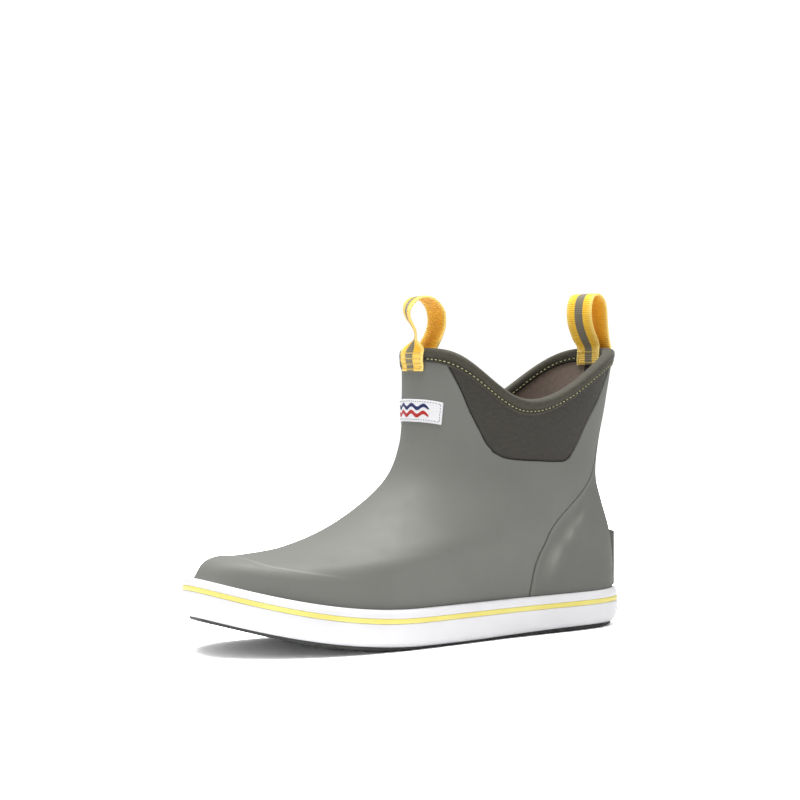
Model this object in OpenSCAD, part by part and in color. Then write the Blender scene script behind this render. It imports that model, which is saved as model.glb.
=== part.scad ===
// Left deck boot: ankle-high rubber boot with stretch gores, bound collar and two webbing pull loops.
// Millimetres. +X points to the toe, +Y to the wearer's left (the outer side), +Z up.
// The origin is on the ground, under the middle of the sole.

/* [Sole] */
// Length of the sole, heel to toe
sole_l = 300; // [290:5:310]
// Thickness of the outsole
outsole_t = 2.8; // [2.4:0.2:3.4]
// Height of the foxing band's top edge above the tread
foxing_top = 23.7; // [23:0.1:25]
// Rise of the toe off the ground
toe_spring = 21; // [18:1:23]
// Height of the midsole's top above the tread
midsole_top = 12; // [11:0.5:13]
// Thickness of the insole board
board_t = 2; // [1.6:0.2:2.4]
// Thickness of the removable footbed's foam
footbed_t = 4.5; // [3:0.5:5]
// Thickness of the footbed's fabric cover
cover_t = 0.8; // [0.6:0.1:1]
// Depth of the tread grooves
groove_d = 1.4; // [1:0.2:1.6]
// Width of the tread grooves
groove_w = 2; // [1.5:0.25:2.5]
// Distance from one tread groove to the next
groove_pitch = 14; // [12:1:20]

/* [Upper] */
// Thickness of the rubber shell
rubber_t = 1.8; // [1.6:0.1:2.2]
// Thickness of the lining
lining_t = 3; // [2.5:0.25:3.5]
// Thickness of the toe puff and the heel stiffener
puff_t = 0.7; // [0.5:0.1:0.9]
// Depth of the gore's face below the rubber's face
gore_recess = 0.6; // [0.3:0.1:0.8]
// Drop of the collar at the outer side
dip_outer = 32; // [28:1:36]
// Drop of the collar at the inner side
dip_inner = 39; // [34:1:42]
// Width of the heel tab in degrees round the boot
heel_tab_span = 30; // [20:2:40]
// Height of the heel tab's top as a share of the shell's height
heel_tab_top = 0.208; // [0.18:0.004:0.24]

/* [Collar] */
// Height of the binding's legs below the rim
binding_h = 7; // [6:0.5:8]
// Thickness of the binding tape
binding_t = 1; // [0.8:0.1:1.2]
// Rise of the binding's crown above the rim
binding_crown = 1.5; // [1.2:0.1:2]
// Width of the tape over the inner back seam
back_tape_w = 12; // [8:1:16]

/* [Pull loops] */
// Width of the webbing
webbing_w = 25; // [20:1:25]
// Thickness of the webbing
webbing_t = 1.5; // [1.2:0.1:1.6]
// Height of the hinge lines above the rim
hinge_h = 7; // [6.8:0.1:8]
// Height of the front loop's top bend centre above its hinge line
front_loop_h = 16; // [14:0.5:20]
// Outer radius of the front loop's top bend
front_loop_r = 10.5; // [8:0.5:12]
// Turn of the front loop about the vertical, outer edge forward
front_loop_yaw = 18; // [0:1:20]
// Outer radius of the front loop's bend at its hinge line
front_hinge_r = 1.8; // [1.8:0.1:3]
// Height of the rear loop's top bend centre above its hinge line
rear_loop_h = 20.5; // [18:0.5:24]
// Outer radius of the rear loop's top bend
rear_loop_r = 8; // [7:0.5:11]
// Outer radius of the rear loop's bend at its hinge line
rear_hinge_r = 5; // [4:0.1:5]
// Forward lean of the rear loop
rear_loop_lean = 10; // [0:1:12]
// Length of the front loop's sewn ends below the rim
front_sewn_l = 12.5; // [11:0.5:14]
// Length of the rear loop's sewn ends below the rim
rear_sewn_l = 10; // [9.5:0.5:12]

/* [Label] */
// Width of the front label
label_w = 50; // [40:1:52]
// Height of the front label
label_h = 14; // [11:0.5:15]
// Thickness of the front label
label_t = 0.8; // [0.6:0.1:1]

/* [Stitching] */
// Distance from one stitch to the next
stitch_pitch = 3; // [2.75:0.25:5]
// Length of one stitch
stitch_l = 2.1; // [1.6:0.1:2.4]
// Width of the thread
thread_w = 0.8; // [0.6:0.1:1]
// Height of a stitch above the cloth
thread_h = 0.35; // [0.25:0.05:0.5]

/* [Hidden] */

rubber = "#80817b";
white = "#f4f3f5";
yellow = "#f2bd1d";
olive = "#41443a";
thread = "#b9ad3c";

// Every shape below is drawn from the back of the heel and moved to the middle of the sole at the end.
to_middle = [-sole_l / 2, -2, 0];
// The lines of the shell are drawn for a 300 mm sole and graded to other lengths.
grade = sole_l / 300;
// Clear gap left between neighbouring layers.
gap = 0.1;
// Height of the collar's seams above the rim, and the lift of their stitches off the tape.
seam_h = 2.1 - binding_h;
stitch_clear = 0.2;

// Half-widths of the foxing as sine series, outer and inner side.
foxing_outer = [53, 3.3, 4.4, -3.7];
foxing_inner = [49.3, 6.7, 11.2, -1.4];
// The shell's level lines: share of the height, back point x z, front point x z,
// then the half-width on the outer side and on the inner side, each as a sine series.
lines = [
    [0,    3.5,  25.5,  295,   45.5,   47.5, 3.3,  4.2, -3.5,  44,   6.5,  10,   -1.4],
    [0.1,  2.5,  44,    282.5, 56,     48,   4,    3.5, -2.6,  44,   6.5,  8,    -1.4],
    [0.22, 6,    61.5,  238,   58.5,   47,   3,    3,   -2,    42.5, 4,    5.5,  -1],
    [0.36, 12.5, 78,    205,   68,     44.5, 0,    2,   -1,    40.5, 1,    3,    -0.5],
    [0.5,  18.5, 96,    169,   91.5,   42,   -1.5, 2,   0,     39,   -1,   2,    0],
    [0.64, 16.5, 117.5, 155,   115.5,  40.5, -1,   2.5, 0,     38.5, -0.5, 2,    0],
    [0.8,  11,   142.5, 152,   145.5,  42,   0,    3.5, 0,     40.5, 0.5,  2,    0],
    [1,    6.5,  173.5, 150.5, 173,    45.5, 1,    5,   0,     42.5, 2.5,  2.5,  0]
];
// How far the outsole's edge stands in from the foxing's outline.
outsole_inset = 3;
// Height of the shell's lowest line, hidden just inside the foxing.
feather_z = foxing_top - 1.2;
// Lower and upper edge of the coloured stripe in the foxing's groove.
stripe_low = foxing_top - 7.9;
stripe_high = stripe_low + 3;
// Stations along the sole at which its side profile is drawn.
profile_x = [for (k = [-1 : 32]) k * 10 * grade];
// Thickness of the collar inside its binding, the place of its middle against the shell's face,
// and how far a webbing's middle stands out from the collar's face, over the binding and below it.
collar_depth = rubber_t + gap + lining_t;
middle_d = -collar_depth / 2;
clear_d = binding_t + 1.5 * gap + webbing_t / 2;
low_clear = 3 * gap + webbing_t / 2;
// Tape over the inner back seam: its lower and upper end as shares of the height, and its thickness.
tape_low = 0.5;
tape_high = 0.9;
tape_t = 0.6;
// Height of the label's centre as a share of the shell's height, and the gap behind the label.
label_v = 0.7535;
label_gap = 0.25;
// How far the label's ends bend down, for each square millimetre of the way out from its centre.
label_bend = 0.0015;

// Edges across the shell, as share of the height and angle from the front.
gore_front = [[0, 64], [0.35, 66], [0.6, 66], [0.645, 64], [0.678, 58.5], [0.715, 54], [0.778, 46],
    [0.855, 38], [0.952, 27], [1, 23]];
gore_rear = [[0, 98], [0.35, 104], [0.55, 113], [0.598, 115], [0.642, 118.5], [0.742, 125],
    [0.81, 131.5], [0.9, 139.5], [1, 150]];
seam = [[0, 114.2], [0.1, 114.2], [0.18, 113.4], [0.24, 113], [0.29, 114.2], [0.34, 117.2], [0.39, 122],
    [0.425, 126.8], [0.46, 132.2], [0.5, 138.6], [0.54, 143.6], [0.6, 147.3], [0.8, 156], [1, 162]];
// Height of the gore's lower edge, and its rise at each angle.
gore_floor = 0.602;
gore_rise = [[0, 0.04], [60, 0.045], [64, 0.043], [72, 0.02], [90, 0], [111, -0.02], [115, -0.004],
    [120, 0.01], [180, 0.01]];

// Cells of the net: across the front, a gore, the strip behind it and half the back, then up the shell.
front_n = 6;
gore_n = 9;
strip_n = 2;
back_n = 4;
low_n = 11;
high_n = 6;
side_n = front_n + gore_n + strip_n + back_n;
ring_n = 2 * side_n;
floor_row = 1 + low_n;
edge_row = floor_row + high_n;
rim_row = edge_row + 1;
gore_start = front_n;
gore_end = front_n + gore_n;
seam_col = gore_end + strip_n;
// The net's top three rows and their normals, which the collar's pieces lie on,
// the columns' angles there, and the height between the lower two rows.
collar_net = [for (i = [edge_row - 1 : rim_row]) [for (u = ring_angles(i)) net_point(i, u)]];
collar_normals = [for (k = [0 : 2]) [for (j = [0 : ring_n - 1])
    net_normal_between(collar_net, max(k - 1, 0), k, min(k + 1, 2), j)]];
collar_angles = [for (i = [edge_row - 1 : rim_row]) ring_angles(i)];
collar_row_h = norm(collar_net[1][0] - collar_net[0][0]);
// Cells that the toe puff and the heel stiffener reach from the toe and up.
puff_cols = 4;
puff_rows = 4;
stiffener_rows = 6;

// Surface of the shell

function series(b, u) = b[0] * sin(u) + b[1] * sin(2 * u) + b[2] * sin(3 * u) + b[3] * sin(4 * u);
function part_of(list, first, n) = [for (k = [0 : n - 1]) list[first + k]];
function toe_rise(x) = toe_spring * pow(max(x / grade - 175, 0) / 125, 2);
function heel_rise(x) = 2.5 * pow(max(30 - x / grade, 0) / 30, 2);

function line_index(v, i = 0) = i >= len(lines) - 2 || v < lines[i + 1][0] ? i : line_index(v, i + 1);
function line_slope(i) =
    let (a = lines[max(i - 1, 0)], b = lines[min(i + 1, len(lines) - 1)]) (b - a) / (b[0] - a[0]);
// Level line at a share v of the height, by a smooth curve through the lines above.
function level(v) =
    let (i = line_index(v), a = lines[i], b = lines[i + 1], h = b[0] - a[0], t = (v - a[0]) / h)
    (2 * pow(t, 3) - 3 * t * t + 1) * a + (pow(t, 3) - 2 * t * t + t) * h * line_slope(i)
        + (3 * t * t - 2 * pow(t, 3)) * b + (pow(t, 3) - t * t) * h * line_slope(i + 1);
function between(x, x0, x1, z0, z1) = z0 + (z1 - z0) * (x - x0) / (x1 - x0);
// How far a collar point has dropped, from 0 at the front and the back to 1 at the side.
function dip(u) =
    let (turn = (u > 180 ? 360 - u : u) / 180, middle = 0.45)
    pow(0.5 - 0.5 * cos(turn < middle ? 180 * turn / middle : 180 + 180 * (turn - middle) / (1 - middle)), 2);
// Point of the shell at angle u from the front, outer side first, and share v of the height.
function shell_point(u, v) =
    let (
        l = level(v),
        outer = u <= 180,
        x = (l[1] + l[3]) / 2 + (l[3] - l[1]) / 2 * cos(u),
        y = outer ? series(part_of(l, 5, 4), u) : -series(part_of(l, 9, 4), 360 - u),
        flat = between(x, lines[0][1], lines[0][3], lines[0][2], lines[0][4]),
        foot = pow(max(1 - v / 0.36, 0), 2) * ((feather_z + toe_rise(x * grade)) / grade - flat),
        drop = pow(max((v - 0.45) / 0.55, 0), 1.6) * (outer ? dip_outer : dip_inner) * dip(u)
    )
    grade * [x, y, between(x, l[1], l[3], l[2], l[4]) + foot - drop];
function skin(u, v) = shell_point((u + 360) % 360, v);
function unit(a) = a / norm(a);
function normal(u, v) =
    unit(cross(skin(u + 1, v) - skin(u - 1, v), skin(u, v + 0.01) - skin(u, v - 0.01)));
// Millimetres up the shell for a whole unit of v, near the rim.
function rim_rate(u) = norm(skin(u, 1) - skin(u, 0.95)) / 0.05;

// Net of points over the shell: row 0 is the edge tucked under the foot, row 1 the line above it,
// floor_row the gores' lower edge, edge_row the binding's lower edge and rim_row the rim.

function net_height(i, u) =
    let (floor_v = gore_floor + lookup(u > 180 ? 360 - u : u, gore_rise))
    i <= 1 ? 0
        : i <= floor_row ? floor_v * (i - 1) / low_n
        : i <= edge_row ? floor_v + (1 - binding_h / rim_rate(u) - floor_v) * (i - floor_row) / high_n
        : 1;
function edge_angle(edge, i, guess) = lookup(net_height(i, lookup(net_height(i, guess), edge)), edge);
function steps(a, b, n) = [for (k = [0 : n - 1]) a + (b - a) * k / n];
function half_angles(i) =
    let (f = edge_angle(gore_front, i, 60), r = edge_angle(gore_rear, i, 115), s = edge_angle(seam, i, 130))
    concat(steps(0, f, front_n), steps(f, r, gore_n), steps(r, s, strip_n), steps(s, 180, back_n), [180]);
function ring_angles(i) = let (a = half_angles(i)) concat(a, [for (k = [side_n - 1 : -1 : 1]) 360 - a[k]]);
function net_point(i, u) =
    let (p = skin(u, net_height(i, u))) i == 0 ? [p.x, p.y, midsole_top + toe_rise(p.x)] : p;
function net_points() = [for (i = [0 : rim_row]) [for (u = ring_angles(i)) net_point(i, u)]];
function net_normal_between(net, below, i, above, j) =
    let (
        along = net[i][(j + 1) % ring_n] - net[i][(j + ring_n - 1) % ring_n],
        up = below == above ? [0, 0, 1] : net[above][j] - net[below][j]
    )
    unit(cross(along, up));
function net_normal(net, i, j) = i <= 1 ? net_normal_between(net, i, i, i, j)
    : net_normal_between(net, i - 1, i, min(i + 1, rim_row), j);
function net_normals(net) = [for (i = [0 : rim_row]) [for (j = [0 : ring_n - 1]) net_normal(net, i, j)]];
// The net moved along its normals by the depth that a table gives for each point.
function offset_net(net, normals, depth) =
    [for (i = [0 : rim_row]) [for (j = [0 : ring_n - 1]) net[i][j] + depth[i][j] * normals[i][j]]];
function even_depth(d) = [for (i = [0 : rim_row]) [for (j = [0 : ring_n - 1]) d]];
// Column counted from the front on either side.
function side_col(j) = j < side_n ? j : ring_n - 1 - j;
function in_gore(i, c) = i >= floor_row && c >= gore_start && c < gore_end;
function in_puff(i, c) = i < puff_rows && c < puff_cols;
function in_stiffener(i, c) = i < stiffener_rows && c >= seam_col;
function stiffened(i, j) =
    max([for (a = [-1, 0], b = [-1, 0]) let (c = side_col((j + b + ring_n) % ring_n))
        in_puff(i + a, c) || in_stiffener(i + a, c) ? 1 : 0]);
// Depth of the lining's outer face, which steps inwards behind the puff and the stiffener.
function lining_depth(extra) =
    [for (i = [0 : rim_row]) [for (j = [0 : ring_n - 1])
        -rubber_t - gap - extra - stiffened(i, j) * (puff_t + gap)]];

// Closed shell between an outer and an inner sheet of points, over the cells marked 1.
// The sheet joins up with itself round the boot when wrap is true.
module shell(outer, inner, cells, wrap) {
    n = len(outer[0]);
    m = len(cells[0]);
    rows = len(cells);
    all = len(outer) * n;
    points = [for (sheet = [outer, inner]) for (row = sheet) for (p = row) p];
    function is_on(i, j) = i < 0 || i >= rows || (!wrap && (j < 0 || j >= m)) ? 0 : cells[i][(j + m) % m];
    function wall(p, q) = [[p, q, q + all], [p, q + all, p + all]];
    faces = [for (i = [0 : rows - 1]) for (j = [0 : m - 1]) if (cells[i][j] == 1)
        let (a = i * n + j, b = i * n + (j + 1) % n, c = b + n, d = a + n)
        for (f = concat(
            [[a, d, c], [a, c, b], [a + all, b + all, c + all], [a + all, c + all, d + all]],
            is_on(i - 1, j) ? [] : wall(a, b),
            is_on(i, j + 1) ? [] : wall(b, c),
            is_on(i + 1, j) ? [] : wall(c, d),
            is_on(i, j - 1) ? [] : wall(d, a)
        )) f];
    polyhedron(points, faces);
}

module sheet(outer, inner) {
    shell(outer, inner, [for (i = [0 : len(outer) - 2]) [for (j = [0 : len(outer[0]) - 2]) 1]], false);
}

// One layer of the shell between two depth tables, over the cells where the table says 1.
module layer(outer_depth, inner_depth, cells) {
    net = net_points();
    normals = net_normals(net);
    translate(to_middle)
        shell(offset_net(net, normals, outer_depth), offset_net(net, normals, inner_depth), cells, true);
}

// Solid swept round the boot: rings[j] is the section at step j, outside edge first, going up.
module hoop(rings) {
    n = len(rings);
    m = len(rings[0]);
    points = [for (ring = rings) for (p = ring) p];
    faces = [for (j = [0 : n - 1]) for (k = [0 : m - 1])
        let (next_j = (j + 1) % n, next_k = (k + 1) % m)
        let (a = j * m + k, b = next_j * m + k, c = next_j * m + next_k, d = j * m + next_k)
        for (f = [[a, d, c], [a, c, b]]) f];
    translate(to_middle) polyhedron(points, faces);
}

// Stitches as separate small bars. Each frame is a place, a direction and the cloth's normal.
module stitches(frames) {
    points = [for (f = frames)
        let (t = unit(f[1]) * stitch_l / 2, n = unit(f[2]), w = cross(n, unit(f[1])) * thread_w / 2)
        for (h = [0, thread_h], q = [[-1, -1], [1, -1], [1, 1], [-1, 1]])
            f[0] + q[0] * t + q[1] * w + h * n];
    faces = [for (k = [0 : len(frames) - 1])
        for (f = [[0, 1, 2], [0, 2, 3], [4, 5, 1], [4, 1, 0], [7, 6, 5], [7, 5, 4],
            [5, 6, 2], [5, 2, 1], [6, 7, 3], [6, 3, 2], [7, 4, 0], [7, 0, 3]]) f + [8, 8, 8] * k];
    translate(to_middle) polyhedron(points, faces);
}

// Places at an even pitch along a path of points, as places in the list with a fraction.
function path_lengths(path) =
    [for (i = 0, s = 0; i < len(path); s = s + norm(path[min(i + 1, len(path) - 1)] - path[i]), i = i + 1) s];
function even_places(path, pitch) =
    let (
        s = path_lengths(path),
        total = s[len(path) - 1],
        count = round(total / pitch),
        table = [for (i = [0 : len(path) - 1]) [s[i], i]]
    )
    [for (k = [0 : count - 1]) lookup((k + 0.5) * total / count, table)];
function on_path(path, place) =
    let (i = min(floor(place), len(path) - 2)) path[i] + (path[i + 1] - path[i]) * (place - i);
// Stitch frames along a path whose normals are listed beside it.
function stitch_frames(path, normals) =
    [for (s = even_places(path, stitch_pitch))
        [on_path(path, s), on_path(path, min(s + 0.3, len(path) - 1)) - on_path(path, max(s - 0.3, 0)),
            on_path(normals, s)]];

// Sole

function foxing_xy(u) =
    grade * [150 + 150 * cos(u), u <= 180 ? series(foxing_outer, u) : -series(foxing_inner, 360 - u)];
function flat_normal(a, b) = unit([b.y - a.y, a.x - b.x]);
// Ring of plan points, moved inwards by d.
function inset_ring(ring, d) =
    [for (j = [0 : len(ring) - 1])
        ring[j] - d * flat_normal(ring[(j + len(ring) - 1) % len(ring)], ring[(j + 1) % len(ring)])];
function foxing_plan(d) = inset_ring([for (u = ring_angles(1)) foxing_xy(u)], d);
function shell_plan(d) = inset_ring([for (u = ring_angles(1)) let (p = skin(u, 0)) [p.x, p.y]], d);

// Plate of a plan outline between two heights above the sole's curved underside.
module plate(plan, low, high, heel) {
    translate(to_middle) intersection() {
        linear_extrude(80) polygon(plan);
        translate([0, 100, 0]) rotate([90, 0, 0]) linear_extrude(200) polygon(concat(
            [for (x = profile_x) [x, low + toe_rise(x) + heel * heel_rise(x)]],
            [for (k = [len(profile_x) - 1 : -1 : 0]) let (x = profile_x[k]) [x, high + toe_rise(x)]]));
    }
}

// One zigzag groove across the sole.
module groove(x) {
    reach = 60;
    turns = 10;
    path = [for (k = [0 : turns]) [x + (k % 2) * 6, -reach + 2 * reach * k / turns]];
    polygon(concat(
        [for (p = path) p - [groove_w / 2, 0]],
        [for (k = [turns : -1 : 0]) path[k] + [groove_w / 2, 0]]));
}

module outsole() {
    color("#3a3d3b") difference() {
        plate(foxing_plan(outsole_inset), 0, outsole_t, 1);
        intersection() {
            translate([0, 0, -5]) plate(foxing_plan(outsole_inset + 6), 0, 10, 0);
            plate(foxing_plan(outsole_inset + 6), -2, groove_d, 1);
            translate(to_middle + [0, 0, -5]) linear_extrude(60)
                for (x = [24 : groove_pitch : sole_l - 24]) groove(x);
        }
    }
}

module midsole() {
    color("#c9c4b8") plate(shell_plan(-gap), outsole_t, midsole_top, 0);
}

module insole_board() {
    plan = shell_plan(rubber_t + lining_t + puff_t + 4 * gap);
    color("#b79f7c") plate(plan, midsole_top + gap, midsole_top + board_t, 0);
}

module footbed() {
    low = midsole_top + board_t + gap;
    color("#55585a") plate(shell_plan(rubber_t + lining_t + puff_t + 6 * gap), low, low + footbed_t, 0);
}

module footbed_cover() {
    low = midsole_top + board_t + 2 * gap + footbed_t;
    color("#8a8581") plate(shell_plan(rubber_t + lining_t + puff_t + 6 * gap), low, low + cover_t, 0);
}

// Hoop whose section is given as distance in from the foxing's outline and height above the tread,
// closed on the inside by a wall against the shell.
module foxing_hoop(outside, inside) {
    outline = [for (d = outside) foxing_plan(d[0])];
    wall = shell_plan(-gap);
    hoop([for (j = [0 : ring_n - 1]) concat(
        [for (k = [0 : len(outside) - 1]) let (p = outline[k][j]) [p.x, p.y, outside[k][1] + toe_rise(p.x)]],
        [for (h = inside) let (p = wall[j]) [p.x, p.y, h + toe_rise(p.x)]])]);
}

module foxing() {
    color(white) foxing_hoop(
        [[3.2, outsole_t + gap], [1.5, 4.4], [0.4, 7.5], [0, 11], [0.4, stripe_low], [1.3, stripe_low + 0.05],
            [1.6, stripe_high - 0.05], [0.9, stripe_high], [1.6, foxing_top - 1], [2.8, foxing_top]],
        [foxing_top, outsole_t + gap]);
}

module foxing_stripe() {
    section = [[0.3, stripe_low + gap], [0.75, stripe_high - gap], [1.5, stripe_high - 1.5 * gap],
        [1.2, stripe_low + 1.5 * gap]];
    outline = [for (d = section) foxing_plan(d[0])];
    color(yellow) hoop([for (j = [0 : ring_n - 1])
        [for (k = [0 : len(section) - 1])
            let (p = outline[k][j]) [p.x, p.y, section[k][1] + toe_rise(p.x)]]]);
}

// Upper

module vamp_shell() {
    color(rubber) layer(even_depth(0), even_depth(-rubber_t),
        [for (i = [0 : rim_row - 1]) [for (j = [0 : ring_n - 1])
            let (c = side_col(j)) c < seam_col && !in_gore(i, c) ? 1 : 0]]);
}

module heel_counter() {
    color("#7b7c76") layer(even_depth(0), even_depth(-rubber_t),
        [for (i = [0 : rim_row - 1]) [for (j = [0 : ring_n - 1]) side_col(j) >= seam_col ? 1 : 0]]);
}

module gore(outer) {
    layer(even_depth(-gore_recess), even_depth(-rubber_t),
        [for (i = [0 : rim_row - 1]) [for (j = [0 : ring_n - 1])
            (j < side_n) == outer && in_gore(i, side_col(j)) ? 1 : 0]]);
}

module gore_outer() {
    color("#4b4642") gore(true);
}

module gore_inner() {
    color("#4b4642") gore(false);
}

module lining() {
    color("#8f8580") layer(lining_depth(0), lining_depth(lining_t),
        [for (i = [0 : rim_row - 1]) [for (j = [0 : ring_n - 1]) 1]]);
}

module toe_puff() {
    color("#cfc8b6") layer(even_depth(-rubber_t - gap), even_depth(-rubber_t - puff_t),
        [for (i = [0 : rim_row - 1]) [for (j = [0 : ring_n - 1]) in_puff(i, side_col(j)) ? 1 : 0]]);
}

module heel_stiffener() {
    color("#cfc8b6") layer(even_depth(-rubber_t - gap), even_depth(-rubber_t - puff_t),
        [for (i = [0 : rim_row - 1]) [for (j = [0 : ring_n - 1]) in_stiffener(i, side_col(j)) ? 1 : 0]]);
}

// Ledge at the back of the heel, upright outside, that a toe or a boot jack pushes on.
module heel_tab() {
    angles = [for (k = [-3 : 3]) 180 + heel_tab_span * k / 6];
    low = 0.01;
    heights = [for (k = [0 : 4]) low + (heel_tab_top - low) * k / 4];
    inner = [for (v = heights) [for (u = angles) skin(u, v) + 0.3 * normal(u, v)]];
    outer = [for (v = heights) [for (u = angles)
        let (p = skin(u, v), foot = skin(u, 0)) [min(foot.x - 2.3, p.x - 1), foot.y, p.z]]];
    color("#777873") translate(to_middle) sheet(outer, inner);
}

// Point inside the boot at height v, s across from the back's middle, on the flats of the lining.
function back_point(v, s, depth) =
    let (
        step = (180 - lookup(v, seam)) / back_n,
        a = skin(180, v) - depth * normal(180, v),
        b = skin(180 + sign(s) * step, v) - depth * normal(180 + sign(s) * step, v)
    )
    s == 0 ? a : a + abs(s) * unit(b - a);

module inner_back_tape() {
    depth = collar_depth + 3 * gap;
    across = [-back_tape_w / 2, 0, back_tape_w / 2];
    heights = [for (k = [0 : 6]) tape_low + (tape_high - tape_low) * k / 6];
    color("#2f2f2c") translate(to_middle) sheet(
        [for (v = heights) [for (s = across) back_point(v, s, depth)]],
        [for (v = heights) [for (s = across) back_point(v, s, depth + tape_t)]]);
}

// Collar

// Place of a height above the rim in the collar's three net rows, and the row below that place.
function row_place(h) = h < -binding_h ? 1 + (h + binding_h) / collar_row_h : min(2 + h / binding_h, 2);
function row_below(place) = place < 1 ? 0 : 1;
// Point of the collar at column j of the net: d outwards from the shell's face and h above the rim.
// It lies on the net's own flats.
function collar_point(j, d, h) =
    let (
        place = row_place(h),
        k = row_below(place),
        low = collar_net[k][j] + d * collar_normals[k][j],
        high = collar_net[k + 1][j] + d * collar_normals[k + 1][j]
    )
    low + (high - low) * (place - k) + max(h, 0) * unit(high - low);
// Angles of the net's columns at a height above the rim.
function columns_at(h) =
    let (place = row_place(h), k = row_below(place))
    collar_angles[k] + (place - k) * (collar_angles[k + 1] - collar_angles[k]);
// Point of the collar at angle u, on the flats between the net's columns.
function on_flats(u, d, h) =
    let (
        a = concat(columns_at(h), [360]),
        place = lookup((u + 360) % 360, [for (k = [0 : len(a) - 1]) [a[k], k]]),
        j = min(floor(place), len(a) - 2),
        across = place - j
    )
    (1 - across) * collar_point(j, d, h) + across * collar_point((j + 1) % ring_n, d, h);
// Angle from the middle of a pull loop at u0 to just past its webbing's edge.
function webbing_half(u0) = (webbing_w / 2 + 1.5) / norm(skin(u0 + 1, 1) - skin(u0, 1));

module collar_binding() {
    t = binding_t;
    deep = collar_depth + gap;
    section = [
        [gap, -binding_h], [t * 0.8, -binding_h], [t, -binding_h + 0.8], [t, seam_h], [t, -1], [t * 0.9, 0.2],
        [t * 0.2, binding_crown * 0.75], [-deep / 2, binding_crown], [-deep - t * 0.1, binding_crown * 0.75],
        [-deep - t * 0.9, 0.2], [-deep - t, -1], [-deep - t, seam_h], [-deep - t, -binding_h + 0.8],
        [-deep - t * 0.8, -binding_h], [-deep, -binding_h], [-deep, gap], [gap, gap]
    ];
    color(olive) hoop([for (j = [0 : ring_n - 1]) [for (s = section) collar_point(j, s[0], s[1])]]);
}

// Seam round the collar at h above the rim and d out from the shell's face, from one pull loop
// to the other on each side. It follows the flats of the binding's ring.
module collar_stitching(d, h, facing) {
    front = webbing_half(0);
    back = webbing_half(180);
    color(thread) for (arc = [[front, 180 - back], [180 + back, 360 - front]]) {
        inside = [for (u = columns_at(h)) if (u > arc[0] && u < arc[1]) u];
        angles = concat([arc[0]], inside, [arc[1]]);
        stitches(stitch_frames(
            [for (u = angles) on_flats(u, d, h)],
            [for (u = angles) facing * normal(u, 1 + h / rim_rate(u))]));
    }
}

module collar_stitching_outside() {
    collar_stitching(binding_t + stitch_clear, seam_h, 1);
}

module collar_stitching_inside() {
    collar_stitching(-collar_depth - gap - binding_t - stitch_clear, seam_h, -1);
}

// Pull loops

// Centre line of the part of a sewn end that lies on the collar, as distance out from the collar's middle
// and height above the rim. Below the binding it steps in towards the shell.
function sewn_line(length) = [
    [collar_depth / 2 + low_clear, -length],
    [collar_depth / 2 + low_clear, -binding_h - 2.2],
    [collar_depth / 2 + clear_d, -binding_h + 0.2],
    [collar_depth / 2 + clear_d, 0]
];
// The same line with its upper end, which stops short of the bend of radius r that its loop turns on.
// A narrow bend lets the two ends close in over the crown.
function end_line(length, r) =
    let (line = sewn_line(length), last = line[3], top = hinge_h - r)
    concat(line, r > collar_depth / 2
        ? [[last.x - 0.3, top - 1]]
        : [[last.x - 0.8, 1.6], [last.x - 2.4, top - 2.5], [webbing_t / 2 + gap / 2, top - 1.9]]);
// One sewn end: the webbing's strip at angle u0, on the outer side (side = 1) or the inner side (side = -1).
module sewn_end(u0, side, length, r) {
    line = end_line(length, r);
    span = webbing_w / 2 / norm(skin(u0 + 1, 1) - skin(u0, 1));
    angles = [for (k = [-4 : 4]) u0 + span * k / 4];
    last = len(line) - 1;
    // Direction of the line at each of its points, turned to point away from the collar.
    away = [for (k = [0 : last]) let (t = unit(line[min(k + 1, last)] - line[max(k - 1, 0)])) [t.y, -t.x]];
    function face(k, u, s) =
        let (p = line[k] + s * webbing_t / 2 * away[k]) on_flats(u, middle_d + side * p[0], p[1]);
    far = [for (k = [0 : last]) [for (u = angles) face(k, u, 1)]];
    near = [for (k = [0 : last]) [for (u = angles) face(k, u, -1)]];
    sheet(side > 0 ? far : near, side > 0 ? near : far);
}

module loop_ends(u0, length, r) {
    color(yellow) translate(to_middle) {
        sewn_end(u0, 1, length, r);
        sewn_end(u0, -1, length, r);
    }
}

module front_loop_ends() {
    loop_ends(0, front_sewn_l, front_hinge_r);
}

module rear_loop_ends() {
    loop_ends(180, rear_sewn_l, rear_hinge_r);
}

// Box of stitches on the sewn end's visible face.
module loop_stitching(u0, side, length) {
    span = (webbing_w / 2 - 2) / norm(skin(u0 + 1, 1) - skin(u0, 1));
    low = -length + 1.6;
    high = -1.2;
    heights = [for (q = sewn_line(length)) [q[1], q[0]]];
    function place(u, h) =
        on_flats(u, middle_d + side * (lookup(h, heights) + webbing_t / 2 + 2 * stitch_clear), h);
    across = [for (k = [-4 : 4]) span * k / 4];
    up = [for (k = [0 : 6]) low + (high - low) * k / 6];
    lines = [
        [for (a = across) [a, low]],
        [for (a = across) [a, high]],
        [for (h = up) [-span, h]],
        [for (h = up) [span, h]]
    ];
    color("#cf9a22") for (line = lines)
        stitches(stitch_frames(
            [for (q = line) place(u0 + q[0], q[1])],
            [for (q = line) side * normal(u0 + q[0], 1 + q[1] / rim_rate(u0))]));
}

module front_loop_stitching() {
    loop_stitching(0, 1, front_sewn_l);
}

module rear_loop_stitching() {
    loop_stitching(180, -1, rear_sewn_l);
}

// Outline round a small circle at the origin and a larger one straight above it.
function drop_outline(small_r, big_r, h) =
    let (a = asin((small_r - big_r) / h), n = 14)
    concat(
        [for (k = [0 : n]) let (t = a + (180 - 2 * a) * k / n) [big_r * cos(t), h + big_r * sin(t)]],
        [for (k = [0 : n]) let (t = 180 - a + (180 + 2 * a) * k / n) [small_r * cos(t), small_r * sin(t)]]);

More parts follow.
